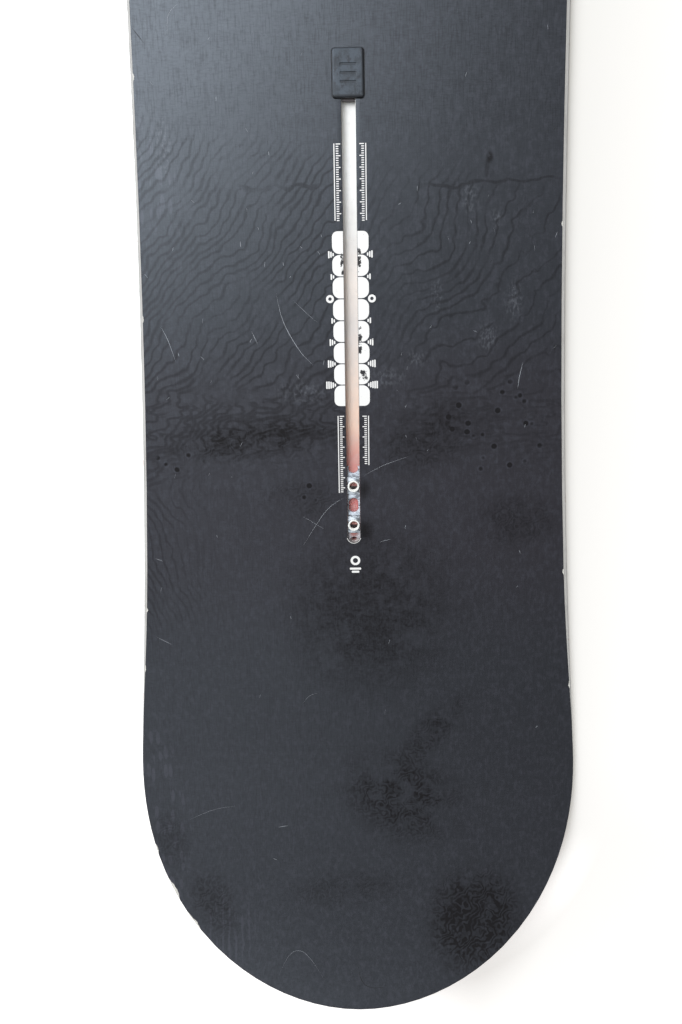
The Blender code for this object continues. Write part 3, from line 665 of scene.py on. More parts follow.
def make_print_finish(look, under):
    """White ink, flaked off in two places beside the slot."""
    finish = Finish("scale_ink", tuple(look.ink), 0.5)
    reach = reach_of(finish.y)
    flakes = finish.noise(0.0035, 4.0, 0.7)
    spots = (((0.0047, -0.0215), (0.0016, 0.0080)), ((0.0049, 0.0245), (0.0016, 0.0090)),
             ((-0.0047, -0.0205), (0.0014, 0.0070)), ((0.0068, 0.0440), (0.0030, 0.0040)))
    worn = sum(finish.patch(centre, radii, soft=0.5, y=reach) for centre, radii in spots)
    worn = (flakes + worn * 0.26).step(0.69, 0.75)
    return finish.surface(finish.mix(worn, tuple(look.ink), tuple(under)), 0.45 + flakes * 0.15,
                          flakes, 0.00001)


def make_rail_finish():
    """Translucent nylon over the coloured base: white inwards, peach and then red outwards, with
    painted shade on its upper walls, about the plug's opening and at the hole near its outer end,
    and painted light and shadow under the nuts' rest places.
    """
    finish = Finish("rail_nylon", (0.8, 0.78, 0.74), 0.4)
    finish.set("Subsurface Weight", 0.6)
    finish.set("Subsurface Scale", 0.0015)
    finish.set("Subsurface Radius", (1.0, 0.95, 0.9))
    reach = reach_of(finish.y)
    tone = finish.ramp((reach + 0.115) / 0.230, (
        (0.00, (0.97, 0.97, 0.94)), (0.20, (0.95, 0.955, 0.93)), (0.33, (0.80, 0.79, 0.77)),
        (0.40, (0.79, 0.75, 0.72)), (0.46, (0.84, 0.77, 0.72)), (0.58, (0.74, 0.69, 0.66)),
        (0.72, (0.82, 0.69, 0.61)), (0.83, (0.84, 0.62, 0.51)), (0.91, (0.67, 0.34, 0.30)),
        (1.00, (0.54, 0.16, 0.15)),
    ))
    # the dark red disc (end) is painted shade about the small hole in the floor near the slot's
    # outer end
    end = finish.patch((0.0, 0.1452), (0.0020, 0.0020), y=reach)
    tone = finish.layers(tone, (reach.step(0.1385, 0.1410), (0.66, 0.62, 0.61)),
                         (end, (0.20, 0.05, 0.05)))
    # painted light and shadow under each nut's rest place, as seen through its bore: a pinkish lit
    # floor on the inward half and a dark shadow on the outward half
    for middle in (0.1118, 0.1363):
        under = finish.patch((0.0, middle), (0.0032, 0.0034), soft=0.2, y=reach)
        lit = reach.step(middle + 0.0002, middle + 0.0012)
        tone = finish.mix(under, tone, finish.mix(lit, (0.62, 0.26, 0.23), (0.03, 0.02, 0.02)))
    # painted shade: near black on the rail about the plug's opening, so that the gap round the plug
    # looks shadowed
    seat = abs(finish.x).step(0.0060, 0.0066).most(reach.fall(-0.1400, -0.1395))
    seat = seat * reach.fall(-0.1085, -0.1080)
    # painted shade on the slot's upper walls, stronger outwards
    lips = finish.z.step(DECK_Z - 0.0030, DECK_Z - 0.0024) * reach.step(0.060, 0.100, 0.3, 1.0)
    cloud = finish.noise(0.006, 4.0, 0.6)
    grit = finish.noise(0.0011, 3.0, 0.7, shift=4.0)
    tone = finish.layers(tone, (seat, (0.035, 0.035, 0.040)), (lips * 0.9, (0.16, 0.14, 0.14)),
                         (cloud.step(0.45, 0.75) * 0.25, (0.62, 0.60, 0.58)),
                         (grit.step(0.66, 0.74) * 0.5, (0.42, 0.36, 0.33)))
    return finish.surface(tone, 0.36 + grit * 0.16, grit, 0.00003)


def make_base_finish():
    """Sintered sheet, stone ground along its length: pale in the middle, red towards the tips."""
    finish = Finish("running_base", (0.7, 0.66, 0.62), 0.35)
    along = abs(finish.y - WAIST) + (finish.noise(0.12, 2.0) - 0.5) * 0.02
    tone = finish.ramp(along / 0.72, (
        (0.00, (0.78, 0.78, 0.75)), (0.30, (0.78, 0.77, 0.74)), (0.44, (0.72, 0.60, 0.52)),
        (0.54, (0.60, 0.16, 0.13)), (0.80, (0.52, 0.09, 0.08)), (1.00, (0.40, 0.06, 0.06)),
    ))
    grooves = finish.noise(0.0006, 2.0, y=0.02)
    cross = finish.noise(0.0011, 1.0, y=0.05, shift=6.0)
    wear = finish.noise(0.05, 4.0, 0.6, shift=2.0).step(0.55, 0.8)
    return finish.surface(finish.mix(wear * 0.2, tone, (0.86, 0.84, 0.82)),
                          0.30 + grooves * 0.2 + wear * 0.1, grooves * 0.7 + cross * 0.3, 0.00003)


def make_steel_finish():
    """Ground edge steel with specks of rust."""
    finish = Finish("edge_steel", (0.56, 0.57, 0.58), 0.3, 1.0)
    ground = finish.noise(0.0012, 3.0, 0.6, y=0.04)
    rust = finish.noise(0.012, 5.0, 0.75, shift=8.0).step(0.60, 0.70)
    finish.set("Metallic", 1.0 - rust * 0.8)
    return finish.surface(finish.mix(rust * 0.8, (0.56, 0.57, 0.58), (0.26, 0.11, 0.05)),
                          0.24 + ground * 0.22 + rust * 0.4, ground + rust * 0.6, 0.00003)


def make_glass_finish():
    """Glass cloth in clear resin, a weave of flat rovings, dark beside the slot."""
    finish = Finish("glass_laminate", (0.42, 0.44, 0.34), 0.3)
    roving = 0.0016
    warp, weft = ((along / roving).fraction() - 0.5 for along in (finish.x, finish.y))
    pair = (finish.x / (roving * 2)).fraction() - 0.5
    lift = abs(warp) + abs(weft) + pair.math("SIGN", pair) * 0.08
    resin = finish.noise(0.02, 3.0)
    cloth = finish.mix(lift.step(0.2, 0.9), (0.50, 0.52, 0.41), (0.34, 0.36, 0.26))
    cloth = finish.mix(abs(finish.x).fall(0.0110, 0.0114), cloth, (0.035, 0.035, 0.040))
    finish.set("Coat Weight", resin.step(0.4, 0.6, 0.2, 0.6))
    return finish.surface(cloth, 0.22 + resin * 0.2, 1.0 - lift, 0.00006)


def make_wood_finish():
    """Glued lengthwise strips of two woods."""
    finish = Finish("core_wood", (0.48, 0.31, 0.16), 0.6)
    strips = finish.x / 0.0165
    strip = strips.math("FLOOR", strips)
    tint = finish.node("ShaderNodeTexWhiteNoise", {"noise_dimensions": "1D"}, {"W": strip})
    grain = finish.noise(0.0022, 4.0, 0.6, y=0.04)
    pores = finish.noise(0.0007, 1.0, y=0.10, shift=3.0).step(0.62, 0.70)
    glue = abs(strips.fraction() - 0.5).step(0.485, 0.495)
    wood = finish.layers((0.58, 0.41, 0.23), (tint, (0.42, 0.25, 0.12)),
                         (grain.step(0.35, 0.65), (0.36, 0.21, 0.10)),
                         (pores * 0.6, (0.12, 0.07, 0.04)), (glue, (0.10, 0.06, 0.03)))
    return finish.surface(wood, 0.5 + grain * 0.2, grain * 0.6 - pores, 0.00004)


def make_sidewall_finish(name, shade):
    """White plastic, milled along its length, grey with dirt in places, its colour scaled by the
    shade given, which paints shade on the left sidewall and light on the right.
    """
    finish = Finish(name, (0.66, 0.66, 0.64), 0.42)
    milled = finish.noise(0.0008, 2.0, y=0.08)
    dirt = finish.noise(0.02, 5.0, 0.7, y=0.5, shift=5.0)
    # shade scales both colours: painted light and shade for each side
    clean, grimy = (tuple(c * shade for c in colour)
                    for colour in ((0.70, 0.70, 0.68), (0.42, 0.41, 0.40)))
    return finish.surface(finish.mix(dirt.step(0.45, 0.75), clean, grimy), 0.35 + milled * 0.2,
                          milled, 0.00004)


def make_rubber_finish():
    """Moulded rubber with a fine pebble and pale scuffs, with painted shade on its sides below the
    crown and on its right and outer edges, and a painted highlight on its left and inner edges.
    """
    finish = Finish("plug_rubber", (0.022, 0.024, 0.028), 0.45)
    finish.set("Specular Tint", (0.84, 0.92, 1.0, 1.0))
    reach = reach_of(finish.y)
    pebble = finish.noise(0.0009, 3.0, 0.6)
    smudge = finish.noise(0.0050, 4.0, 0.65, shift=4.0)
    worn = finish.noise(0.0032, 4.0, 0.7, y=0.5, shift=9.0)
    # painted light and shade: the sides below the crown are darkened, the left and inner edges
    # (lit) get a painted highlight, and the right and outer edges (away) painted shade
    crown = finish.z.step(DECK_Z + 0.0009, DECK_Z + 0.0015)
    lit = finish.x.fall(-0.0087, -0.0078).most(reach.fall(-0.1344, -0.1336))
    away = finish.x.step(0.0070, 0.0079).most(reach.step(-0.1112, -0.1102))
    skin = finish.layers((0.026, 0.031, 0.039), (smudge.step(0.36, 0.60), (0.050, 0.062, 0.079)),
                         (pebble.step(0.55, 0.75) * 0.4, (0.085, 0.095, 0.112)),
                         (worn.step(0.55, 0.64) * 0.8, (0.016, 0.015, 0.019)),
                         (crown.step(0.0, 1.0, 0.6, 0.0), (0.012, 0.013, 0.016)),
                         (lit * 0.5, (0.10, 0.115, 0.135)), (away * 0.85, (0.008, 0.008, 0.010)))
    above = finish.z.step(DECK_Z - 0.0008, DECK_Z - 0.0004)
    return finish.surface(finish.mix(above, (0.050, 0.038, 0.036), skin), 0.42 + pebble * 0.2,
                          pebble + smudge * 0.4, 0.00010)


def make_nut_finish(look):
    """Zinc plating: white on the boss, bluish and grimy on the flange, and painted near white in
    the thread as a highlight.
    """
    finish = Finish("nut_plating", (0.84, 0.87, 0.81), 0.4, 0.3)
    radius = (finish.x * finish.x + finish.y * finish.y) ** 0.5
    cloud = finish.noise(0.0018, 4.0, 0.6)
    top = finish.mix(cloud.step(0.55, 0.75), (0.90, 0.92, 0.90), (0.66, 0.68, 0.66))
    dark_marks = finish.noise(0.0020, 4.0, 0.65, x=0.4, shift=6.0)
    low = finish.mix(dark_marks.step(0.44, 0.60), (0.66, 0.73, 0.80), (0.16, 0.18, 0.20))
    # painted highlight: the thread's wall is painted near white, standing in for light on the
    # bore's far wall
    bore = look.bore / 2 + look.thread_depth
    colour = finish.layers(low, (finish.z.step(look.flange * 1.1, look.flange * 1.5), top),
                           (radius.fall(bore - 0.0001, bore + 0.0002), (0.95, 0.96, 0.92)))
    fine = finish.noise(0.0004, 2.0, shift=2.0)
    return finish.surface(colour, 0.32 + cloud * 0.24, fine, 0.00001)


def make_carrier_finish():
    """Natural nylon, bluish, with dark grime across it, painted shadow along its left edge and
    painted shade over the hole near the slot's outer end.
    """
    finish = Finish("carrier_nylon", (0.55, 0.63, 0.74), 0.3)
    reach = reach_of(finish.y)
    cloud = finish.noise(0.004, 3.0, 0.6)
    dark_marks = finish.noise(0.0018, 4.0, 0.65, x=0.35, shift=6.0).step(0.46, 0.62)
    tail = reach.step(0.1375, 0.1405)
    # painted shade: dark red on the carrier over the hole in the floor near the slot's outer end
    over_hole = finish.patch((0.0, 0.1418), (0.0024, 0.0022), y=reach)
    # painted shadow of the slot's left lip along the carrier's left edge, in the same dark colour
    # as the dirt
    shade = finish.x.step(-0.0034, -0.0027, 0.9, 0.0)
    colour = finish.layers((0.50, 0.57, 0.65), (cloud.step(0.3, 0.7), (0.74, 0.81, 0.90)),
                           (tail * 0.75, (0.42, 0.37, 0.38)), (over_hole, (0.34, 0.15, 0.14)),
                           ((dark_marks * 0.85 * (1.0 - tail * 0.7)).most(shade), (0.12, 0.13, 0.15)))
    finish.set("Coat Weight", cloud.step(0.3, 0.6, 0.1, 0.5))
    return finish.surface(colour, 0.22 + cloud * 0.2, cloud, 0.00004)


class SNOWBOARD_OT_topsheet(bpy.types.Operator):
    """Dress the topsheet in its printed wood grain"""
    bl_idname = "snowboard.topsheet"
    bl_label = "Topsheet"

    def execute(self, context):
        dress("topsheet", make_topsheet_finish(context.scene.snowboard_topsheet))
        return {"FINISHED"}


class SNOWBOARD_OT_print(bpy.types.Operator):
    """Print a plain stance scale beside each slot"""
    bl_idname = "snowboard.print"
    bl_label = "Stance scale"

    SLOT_SIDE = 0.00415
    BARS = {-2: 3, -1: 2, 1: 2, 2: 3, 3: 4, 4: 5}       # how many at each mark
    BAR_HALVES = (0.0009, 0.0016, 0.0020, 0.0022, 0.0022)
    BAR_PITCH, BAR_INSET, BAR_WIDTH, BAR_CORNER = 0.00125, 0.0010, 0.00085, 0.0003
    SIDE_RING, SIDE_RING_X, SIDE_RING_STEPS = (0.0010, 0.0023), 0.0017, 24
    RULES = (                                           # x, start and end of each ruler
        (-0.0085, -0.0853, -0.0437), (0.0094, -0.0853, -0.0438),
        (-0.0086, 0.0684, 0.1156), (0.0096, 0.0685, 0.0985),
    )
    TICKS_IN_PITCH, TICKS_TO_LONG = 10, 5
    TICK, LONG_TICK, TICK_INSET = 0.0015, 0.0026, 0.0010
    BADGE_X, BADGE_REACH, BADGE_RING, BADGE_STEPS = 0.0007, 0.1586, (0.0016, 0.0030), 40
    BADGE_BARS = ((0.1632, 0.0035), (0.1652, 0.0023))   # reach and half length
    BADGE_BAR_WIDTH, BADGE_BAR_CORNER = 0.0013, 0.0004

    def execute(self, context):
        look = context.scene.snowboard_print
        finish = make_print_finish(look, context.scene.snowboard_topsheet.ink)
        for foot in FEET:
            shape = bmesh.new()
            self.band(shape, look, foot)
            self.bars(shape, look, foot)
            self.rulers(shape, look, foot)
            self.badge(shape, foot)
            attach(from_bmesh(f"stance_scale_{foot}", shape, finish), "board")
        return {"FINISHED"}

    def box(self, shape, foot, across, reach, radii=(0, 0, 0, 0)):
        """A plate between two x and two distances outwards from the reference mark."""
        low, high = zip(sorted(across), sorted(foot_y(foot, end) for end in reach))
        outline = rounded_outline(low, high, radii)
        add_plate(shape, outline, DECK_Z - PRINT_SINK, DECK_Z + PRINT_RISE)

    def ring(self, shape, centre, radii, steps):
        """A flat ring of the print's thickness."""
        add_arc(shape, centre, radii, DECK_Z - PRINT_SINK, DECK_Z + PRINT_RISE, steps)

    def band(self, shape, look, foot):
        """White tiles across the slot, parted at the marks."""
        first = look.band_centre - look.band_length / 2
        last = look.band_centre + look.band_length / 2
        edge, gap = look.band_width / 2, look.line / 2
        marks = [look.pitch * (mark - 2) for mark in range(look.marks)]
        cuts = [first - look.line, *marks, last + look.line]
        for low, high in zip(cuts, cuts[1:]):
            outer = (low < first, high > last)
            reach = (low + gap * (1 + outer[0]), high - gap * (1 + outer[1]))
            corners = [look.band_corner if end else look.notch for end in outer]
            if FEET[foot] < 0:
                corners.reverse()
            self.box(shape, foot, (self.SLOT_SIDE, edge), reach, (0, *corners, 0))
            self.box(shape, foot, (-edge, -self.SLOT_SIDE), reach, (corners[0], 0, 0, corners[1]))

    def bars(self, shape, look, foot):
        """Upright bars at the side marks, more of them farther out, and rings at the middle."""
        edge = look.band_width / 2
        for mark, count in self.BARS.items():
            for bar, half in enumerate(self.BAR_HALVES[:count]):
                start = edge + self.BAR_PITCH * bar - self.BAR_INSET
                reach = (look.pitch * mark - half, look.pitch * mark + half)
                for side in (-1, 1):
                    across = (side * start, side * (start + self.BAR_WIDTH))
                    self.box(shape, foot, across, reach, (self.BAR_CORNER,) * 4)
        for side in (-1, 1):
            middle = (side * (edge + self.SIDE_RING_X), foot_y(foot, 0))
            self.ring(shape, middle, self.SIDE_RING, self.SIDE_RING_STEPS)

    def rulers(self, shape, look, foot):
        """Lines along the slot, each with a row of ticks on its inner side."""
        pitch = look.pitch / self.TICKS_IN_PITCH
        for x, start, end in self.RULES:
            side = math.copysign(1, x)
            inner = abs(x) - self.TICK_INSET
            self.box(shape, foot, (x - look.line / 2, x + look.line / 2), (start, end))
            for tick in range(int((end - start) / pitch) + 1):
                reach = start + tick * pitch
                length = self.TICK if tick % self.TICKS_TO_LONG else self.LONG_TICK
                across = (side * inner, side * (inner - length))
                self.box(shape, foot, across, (reach, reach + look.line))

    def badge(self, shape, foot):
        """A plain ring and two bars beyond the end of the slot."""
        x = self.BADGE_X
        middle = (x, foot_y(foot, self.BADGE_REACH))
        self.ring(shape, middle, self.BADGE_RING, self.BADGE_STEPS)
        for reach, half in self.BADGE_BARS:
            self.box(shape, foot, (x - half, x + half), (reach, reach + self.BADGE_BAR_WIDTH),
                     (self.BADGE_BAR_CORNER,) * 4)


class SNOWBOARD_OT_wear(bpy.types.Operator):
    """Scratch and chip the topsheet as in use"""
    bl_idname = "snowboard.wear"
    bl_label = "Wear"

    BRIGHT = (          # stops in millimetres, and width
        (((-44, -284), (-40, -302), (-31, -319), (-22, -329)), 0.55),
        (((-5, -408), (-17, -417), (-33, -441)), 0.40),
        (((5, -396), (18, -389), (35, -383)), 0.34),
        (((101, -327), (99, -336), (98, -344)), 0.60),
        (((-91, -130), (-98, -137), (-99, -149)), 0.30),
        (((-112, -304), (-108, -313), (-104, -326)), 0.45),
        (((-59, -307), (-55, -316)), 0.45),
        (((-34, -290), (-27, -297), (-19, -304)), 0.25),
        (((-124, -446), (-119, -448)), 0.5),
        (((-127, -498), (-116, -504)), 0.35),
        (((-33, -419), (-17, -429)), 0.25),
        (((15, -437), (23, -435)), 0.35),
        (((-113, -628), (-96, -621), (-80, -618)), 0.20),
        (((-54, -728), (-46, -715), (-38, -713), (-30, -720), (-23, -730)), 0.20),
        (((-53, -633), (-46, -632)), 0.4),
        (((-57, -654), (-54, -655)), 0.4),
        (((-35, -546), (-30, -540), (-24, -538)), 0.22),
    )
    DARK = (
        (((-119, -142), (-112, -151)), 0.6),
        (((-1, -718), (1, -729), (7, -734), (19, -734)), 0.5),
    )
    CHIPS = (           # side of the board, then y, length and depth in millimetres
        (-1, -168, 4, 0.8), (-1, -480, 3, 0.7), (-1, -520, 5, 0.5), (-1, -647, 7, 0.9),
        (-1, -674, 15, 1.8), (-1, -694, 12, 1.4), (1, -457, 4, 0.7), (1, -533, 5, 0.7),
        (1, 180, 6, 0.8), (-1, 612, 11, 1.2), (1, 655, 8, 1.2), (-1, -300, 4, 0.5),
        (1, -250, 3, 0.5),
    )
    CHIP_STEPS = 10
    CHIP_ENDS, CHIP_BITE = 0.12, (0.5, 1.2)     # depth at the ends, in millimetres, and its spread
    CHIP_SINK, CHIP_RISE = 0.00002, 0.00004
    SCRATCH_WIDTH = 0.00095                     # of a scratch whose width is given as 1
    SCRATCH_RISE, FLECK_RISE = 0.00003, 0.00002
    SEED = 7
    LIGHT_FLECKS, DARK_FLECKS = 150, 60
    FLECK_FIELD = (125, 130)                    # half width, and spread along, in millimetres
    FLECK_HALF, FLECK_WIDTH = (0.5, 2.6), (0.15, 0.55)
    FLECK_TURN = 0.6
    SLOT_CLEAR = 14                             # what flecks keep from the slot, in millimetres

    def execute(self, context):
        deck = Deck()
        draw = random.Random(self.SEED)
        light = make_plain_finish("scratch_light", (0.26, 0.28, 0.31), 0.6, grain=0.0005)
        dark = make_plain_finish("scratch_dark", (0.006, 0.006, 0.007), 0.7, grain=0.0005)
        self.scratch("scratches_light", deck, self.BRIGHT, light)
        self.scratch("scratches_dark", deck, self.DARK, dark)
        self.flecks("flecks_light", deck, draw, self.LIGHT_FLECKS, light)
        self.flecks("flecks_dark", deck, draw, self.DARK_FLECKS, dark)
        self.chips(deck, draw)
        return {"FINISHED"}

    def scratch(self, name, deck, lines, finish):
        shape = bmesh.new()
        for stops, width in lines:
            on_deck = [point for point in curve_points(stops) if deck.height(*point) is not None]
            deck.add_sliver(shape, on_deck, width * self.SCRATCH_WIDTH, self.SCRATCH_RISE)
        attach(from_bmesh(name, shape, finish), "board")

    def flecks(self, name, deck, draw, count, finish):
        """Short nicks, more of them about the feet."""
        half_width, spread = self.FLECK_FIELD
        shape = bmesh.new()
        while count:
            foot = draw.choice((-1, 1))
            x = draw.uniform(-half_width, half_width)
            middle = Vector((x, (WAIST + foot * HALF_STANCE) / MM + draw.gauss(0, spread)))
            turn = draw.gauss(math.pi / 2, self.FLECK_TURN)
            along = Vector((math.cos(turn), math.sin(turn)))
            ends = [middle + along * reach * draw.uniform(*self.FLECK_HALF)
                    for reach in (-1, 0.1, 1)]
            on_deck = all(deck.height(end.x * MM, end.y * MM) is not None for end in ends)
            if on_deck and abs(middle.x) > self.SLOT_CLEAR:
                width = draw.uniform(*self.FLECK_WIDTH) * MM
                deck.add_sliver(shape, curve_points(ends, 3), width, self.FLECK_RISE)
                count -= 1
        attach(from_bmesh(name, shape, finish), "board")

    def chips(self, deck, draw):
        """Ragged places along the rim where the print has broken off."""
        shape = bmesh.new()
        sink, rise = -self.CHIP_SINK, self.CHIP_RISE
        for side, middle, length, depth in self.CHIPS:
            rim, inner = [], []
            for step in range(self.CHIP_STEPS + 1):
                share = step / self.CHIP_STEPS
                y = (middle + (share - 0.5) * length) * MM
                x = deck.rim(side, y)
                swell = depth * math.sin(math.pi * share) * draw.uniform(*self.CHIP_BITE)
                rim.append(Vector((x - side * self.CHIP_SINK, y)))
                inner.append(Vector((x - side * (self.CHIP_ENDS + swell) * MM, y)))
            rows = [[shape.verts.new((*p, deck.height(*p) + lift)) for p in line]
                    for line, lift in ((rim, sink), (inner, sink), (inner, rise), (rim, rise))]
            for low, high in zip(rows, rows[1:] + rows[:1]):
                for step in range(self.CHIP_STEPS):
                    shape.faces.new((low[step], low[step + 1], high[step + 1], high[step]))
            for end in (0, -1):
                shape.faces.new([row[end] for row in rows])
        broken = make_plain_finish("chipped_fibre", (0.62, 0.61, 0.57), 0.7, grain=0.0006)
        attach(from_bmesh("rim_chips", shape, broken), "board")


class SNOWBOARD_OT_structure(bpy.types.Operator):
    """Dress the sidewalls, edges, base, laminates, core and spacers"""
    bl_idname = "snowboard.structure"
    bl_label = "Structure"

    SIDES = {"left": 0.62, "right": 1.12}       # how bright each sidewall's plastic is painted: painted shade on the left and painted light on the right

    def execute(self, context):
        steel, glass = make_steel_finish(), make_glass_finish()
        for side, shade in self.SIDES.items():
            dress(f"sidewall_{side}", make_sidewall_finish(f"sidewall_{side}", shade))
            dress(f"steel_edge_{side}", steel)
        dress("lower_laminate", glass)
        dress("upper_laminate", glass)
        dress("damping_foil", make_plain_finish("damping_rubber", (0.02, 0.02, 0.02), 0.8))
        dress("wood_core", make_wood_finish())
        spacer = make_plain_finish("spacer_plastic", (0.03, 0.03, 0.034), 0.5)
        dress("tail_spacer", spacer)
        dress("nose_spacer", spacer)
        dress("base_sheet", make_base_finish())
        return {"FINISHED"}


class SNOWBOARD_OT_channels(bpy.types.Operator):
    """Dress the rails and plugs, and rim the outer end of each slot"""
    bl_idname = "snowboard.channels"
    bl_label = "Channels"

    RIM_REACH = 0.1433                  # of the middle of the slot's outer end
    RIM_RADII = (0.00402, 0.00438)
    RIM_SINK = 0.00002
    RIM_START, RIM_SWEEP, RIM_STEPS = math.radians(12), math.radians(156), 24

    def execute(self, context):
        rail, rubber = make_rail_finish(), make_rubber_finish()
        bare = make_plain_finish("cut_rim", (0.66, 0.66, 0.65), 0.5, grain=0.0005)
        for foot, outward in FEET.items():
            dress(f"channel_rail_{foot}", rail)
            dress(f"channel_plug_{foot}", rubber)
            shape = bmesh.new()
            centre = (0.0, foot_y(foot, self.RIM_REACH))
            start = self.RIM_START if outward > 0 else self.RIM_START + math.pi
            add_arc(shape, centre, self.RIM_RADII, DECK_Z - self.RIM_SINK, DECK_Z + PRINT_RISE,
                    self.RIM_STEPS, start, self.RIM_SWEEP)
            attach(from_bmesh(f"slot_rim_{foot}", shape, bare), "board")
        return {"FINISHED"}


class SNOWBOARD_OT_inserts(bpy.types.Operator):
    """Give the sliding inserts threaded nuts"""
    bl_idname = "snowboard.inserts"
    bl_label = "Inserts"

    CORNER_STEPS, BOSS_SIDES, CHAMFER_STEPS = 5, 64, 2
    CHAMFER_ANGLE, SHARP_ANGLE = math.radians(60), math.radians(35)
    SCREW_SIDES, SCREW_ROWS = 40, 8     # rows in one pitch

    def execute(self, context):
        look = context.scene.snowboard_hardware
        nylon = make_carrier_finish()
        low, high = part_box("insert_nut_rear_inner")
        mesh = self.nut_mesh(look, high - low, make_nut_finish(look))
        for foot in FEET:
            for place in ("inner", "outer"):
                node = f"insert_nut_{foot}_{place}"
                dress(f"insert_carrier_{foot}_{place}", nylon)
                low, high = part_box(node)
                nut = linked(f"threaded_nut_{foot}_{place}", mesh)
                nut.location = ((low.x + high.x) / 2, (low.y + high.y) / 2, low.z)
                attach(nut, f"insert_{foot}_{place}")
                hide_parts(node)
        return {"FINISHED"}

    def nut_mesh(self, look, size, finish):
        """A rounded flange and a round boss, with a screw thread cut through both."""
        shape = bmesh.new()
        made = bmesh.ops.create_cube(shape, size=1.0)["verts"]
        bmesh.ops.scale(shape, verts=made, vec=(size.x, size.y, look.flange))
        bmesh.ops.translate(shape, verts=made, vec=(0, 0, look.flange / 2))
        upright = [edge for edge in shape.edges
                   if abs(edge.verts[0].co.z - edge.verts[1].co.z) > look.flange / 2]
        bmesh.ops.bevel(shape, geom=upright, offset=look.corner, segments=self.CORNER_STEPS,
                        profile=0.5, affect="EDGES")
        nut = from_bmesh("nut_flange", shape, finish)
        shape = bmesh.new()
        radius = look.boss / 2
        made = bmesh.ops.create_cone(shape, cap_ends=True, segments=self.BOSS_SIDES, radius1=radius,
                                     radius2=radius, depth=size.z - look.flange / 2)["verts"]
        bmesh.ops.translate(shape, verts=made, vec=(0, 0, (size.z + look.flange / 2) / 2))
        boss = from_bmesh("nut_boss", shape, finish)
        screw = from_bmesh("nut_screw", self.screw(look, size.z), finish)
        add_modifier(nut, "BOOLEAN", object=boss, operation="UNION", solver="EXACT")
        add_modifier(nut, "BOOLEAN", object=screw, operation="DIFFERENCE", solver="EXACT")
        add_modifier(nut, "BEVEL", width=look.chamfer, segments=self.CHAMFER_STEPS,
                     limit_method="ANGLE", angle_limit=self.CHAMFER_ANGLE)
        mesh = baked_mesh(nut)
        mesh.shade_smooth()
        mesh.set_sharp_from_angle(angle=self.SHARP_ANGLE)
        for used in (nut, boss, screw):
            bpy.data.objects.remove(used, do_unlink=True)
        return mesh

    def screw(self, look, height):
        """A closed cutter with the shape of the screw, flared at the top."""
        low, high = -look.thread_pitch, height + look.thread_pitch
        count = round((high - low) / look.thread_pitch * self.SCREW_ROWS)
        shape = bmesh.new()
        loops = []
        for row in range(count + 1):
            z = low + (high - low) * row / count
            loop = []
            for side in range(self.SCREW_SIDES):
                turn = side / self.SCREW_SIDES
                angle = 2 * math.pi * turn
                ridge = 1 - abs(2 * ((z / look.thread_pitch - turn) % 1.0) - 1)
                radius = max(look.bore / 2 + look.thread_depth * ridge,
                             look.bore / 2 + look.flare - (height - z))
                place = (radius * math.cos(angle), radius * math.sin(angle), z)
                loop.append(shape.verts.new(place))
            loops.append(loop)
        for below, above in zip(loops, loops[1:]):
            for side in range(self.SCREW_SIDES):
                shape.faces.new((below[side - 1], below[side], above[side], above[side - 1]))
        for end in (loops[0], loops[-1]):
            shape.faces.new(end)
        return shape


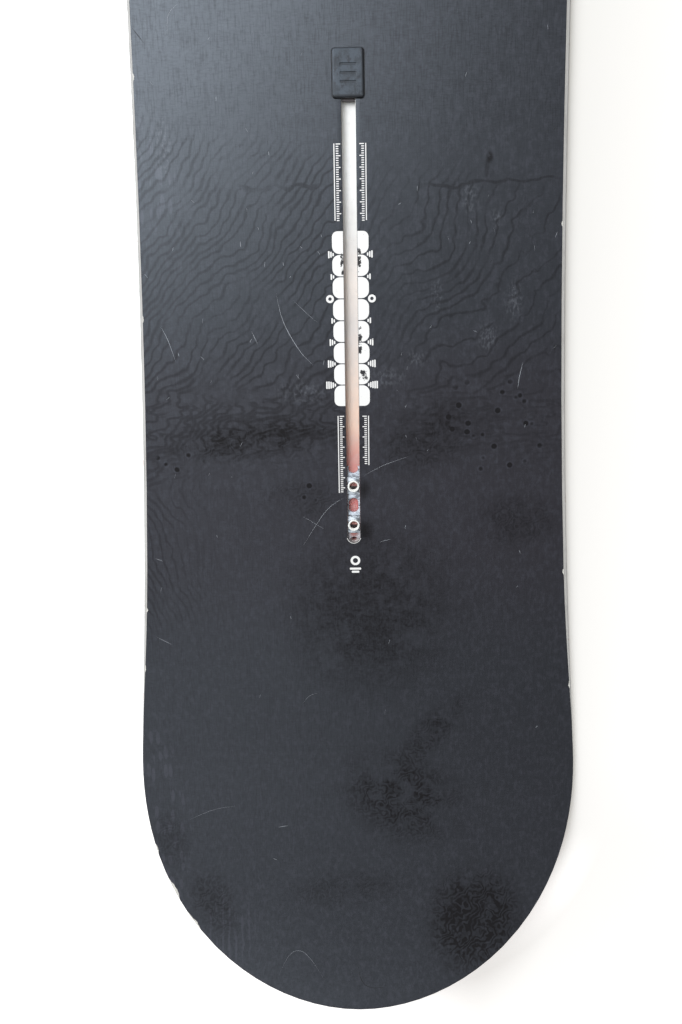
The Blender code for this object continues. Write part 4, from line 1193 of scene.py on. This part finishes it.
class SNOWBOARD_OT_stage(bpy.types.Operator):
    """Lay the floor and set the light and the camera"""
    bl_idname = "snowboard.stage"
    bl_label = "Stage"

    FLOOR_REACH = 6.0
    FLOOR_GAP = 0.0002
    GLOW, DIM_GLOW = (0.62, 0.61, 0.60), (0.03, 0.025, 0.0)
    WIDEST_Y = -0.605                   # where the outline begins to close about the tail
    TAIL_SHADE, TAIL_SHADE_REACH = 0.75, 0.030
    DAYLIGHT = (0.96, 0.98, 1.0)
    SKYLIGHT = (1.0, 0.985, 0.97, 1.0)
    KEY_LAMP = ((-0.70, 0.42, 1.5), 1.2, (0.0, -0.35, 0.0))         # place, size and aim
    FILL_LAMP = ((-0.45, -1.30, 1.45), 0.8, (0.0, -0.50, 0.0))

    def execute(self, context):
        stage = context.scene.snowboard_stage
        self.lay_floor(stage)
        self.set_light(context.scene, stage)
        self.hang_camera(context.scene, stage)
        context.scene.view_settings.view_transform = "Standard"
        return {"FINISHED"}

    def lay_floor(self, stage):
        shape = bmesh.new()
        bmesh.ops.create_grid(shape, x_segments=1, y_segments=1, size=self.FLOOR_REACH)
        finish = Finish("floor_paper", tuple(stage.floor), 0.9)
        rays = [finish.node("ShaderNodeLightPath", output=f"Is {kind} Ray")
                for kind in ("Camera", "Glossy", "Transmission")]
        seen = rays[0].most(rays[1]).most(rays[2])
        paper = finish.mix(self.floor_glow(finish), self.DIM_GLOW, self.GLOW)
        finish.set("Emission Color", finish.mix(seen, (0.0, 0.0, 0.0), paper))
        finish.set("Emission Strength", 1.0)
        floor = from_bmesh("floor", shape, finish)
        floor.location.z = CAD_BOX[0].z - self.FLOOR_GAP

    def floor_glow(self, finish):
        """1 on clear paper, and less in the soft shade along the board's right side and tail."""
        x, y = finish.x, finish.y
        past_widest = (self.WIDEST_Y - y).most(0.0)
        from_edge = (x * x + past_widest * past_widest) ** 0.5 - CAD_BOX[1].x
        beside = x.step(0.03, 0.09) * y.fall(-0.06, 0.10)
        near_tail = (1.0 - from_edge / self.TAIL_SHADE_REACH).clamped()
        near_tail = near_tail * past_widest.step(0.03, 0.09) * self.TAIL_SHADE
        shade = 1.02 + y * 0.537 - from_edge * y.step(-0.66, -0.58, 1.6, 3.8) - near_tail
        return 1.0 - beside * shade.clamped()

    def hang_lamp(self, name, power, place, size, aim):
        lamp = bpy.data.lights.new(name, "AREA")
        lamp.energy = power
        lamp.size = size
        lamp.color = self.DAYLIGHT
        hung = linked(name, lamp)
        hung.location = place
        hung.rotation_euler = (Vector(aim) - hung.location).to_track_quat("-Z", "Y").to_euler()

    def set_light(self, scene, stage):
        world = bpy.data.worlds.new("studio")
        world.use_nodes = True
        scene.world = world
        tree = world.node_tree
        sky = tree.nodes["Background"]
        sky.inputs["Color"].default_value = self.SKYLIGHT
        sky.inputs["Strength"].default_value = stage.sky
        white = tree.nodes.new("ShaderNodeBackground")
        path = tree.nodes.new("ShaderNodeLightPath")
        mix = tree.nodes.new("ShaderNodeMixShader")
        tree.links.new(path.outputs["Is Camera Ray"], mix.inputs[0])
        tree.links.new(sky.outputs[0], mix.inputs[1])
        tree.links.new(white.outputs[0], mix.inputs[2])
        tree.links.new(mix.outputs[0], tree.nodes["World Output"].inputs["Surface"])
        self.hang_lamp("key", stage.key, *self.KEY_LAMP)
        self.hang_lamp("fill", stage.fill, *self.FILL_LAMP)

    def hang_camera(self, scene, stage):
        data = bpy.data.cameras.new("camera")
        data.lens = stage.lens
        data.clip_start = 0.01
        camera = linked("camera", data)
        aim = (Matrix.Rotation(stage.turn, 4, "Z") @ Matrix.Rotation(stage.tilt, 4, "X")
               @ Matrix.Rotation(stage.roll, 4, "Z"))
        camera.matrix_world = Matrix.Translation(stage.camera) @ aim
        scene.camera = camera


class SNOWBOARD_PT_finishes(bpy.types.Panel):
    """Buttons for each step of the dressing"""
    bl_label = "Snowboard finishes"
    bl_idname = "SNOWBOARD_PT_finishes"
    bl_space_type = "VIEW_3D"
    bl_region_type = "UI"
    bl_category = "Snowboard"

    def draw(self, context):
        for step in STEPS:
            self.layout.operator(step.bl_idname)


SETTINGS = {
    "snowboard_topsheet": TopsheetSettings,
    "snowboard_print": PrintSettings,
    "snowboard_hardware": HardwareSettings,
    "snowboard_stage": StageSettings,
}
STEPS = (
    SNOWBOARD_OT_topsheet,
    SNOWBOARD_OT_print,
    SNOWBOARD_OT_wear,
    SNOWBOARD_OT_structure,
    SNOWBOARD_OT_channels,
    SNOWBOARD_OT_inserts,
    SNOWBOARD_OT_stage,
)
CLASSES = (*SETTINGS.values(), *STEPS, SNOWBOARD_PT_finishes)


def register():
    for kind in CLASSES:
        bpy.utils.register_class(kind)
    for name, kind in SETTINGS.items():
        setattr(bpy.types.Scene, name, PointerProperty(type=kind))


def unregister():
    for name in SETTINGS:
        delattr(bpy.types.Scene, name)
    for kind in reversed(CLASSES):
        bpy.utils.unregister_class(kind)


def main():
    register()
    for step in STEPS:
        group, name = step.bl_idname.split(".")
        getattr(getattr(bpy.ops, group), name)()


if __name__ == "__main__":
    main()
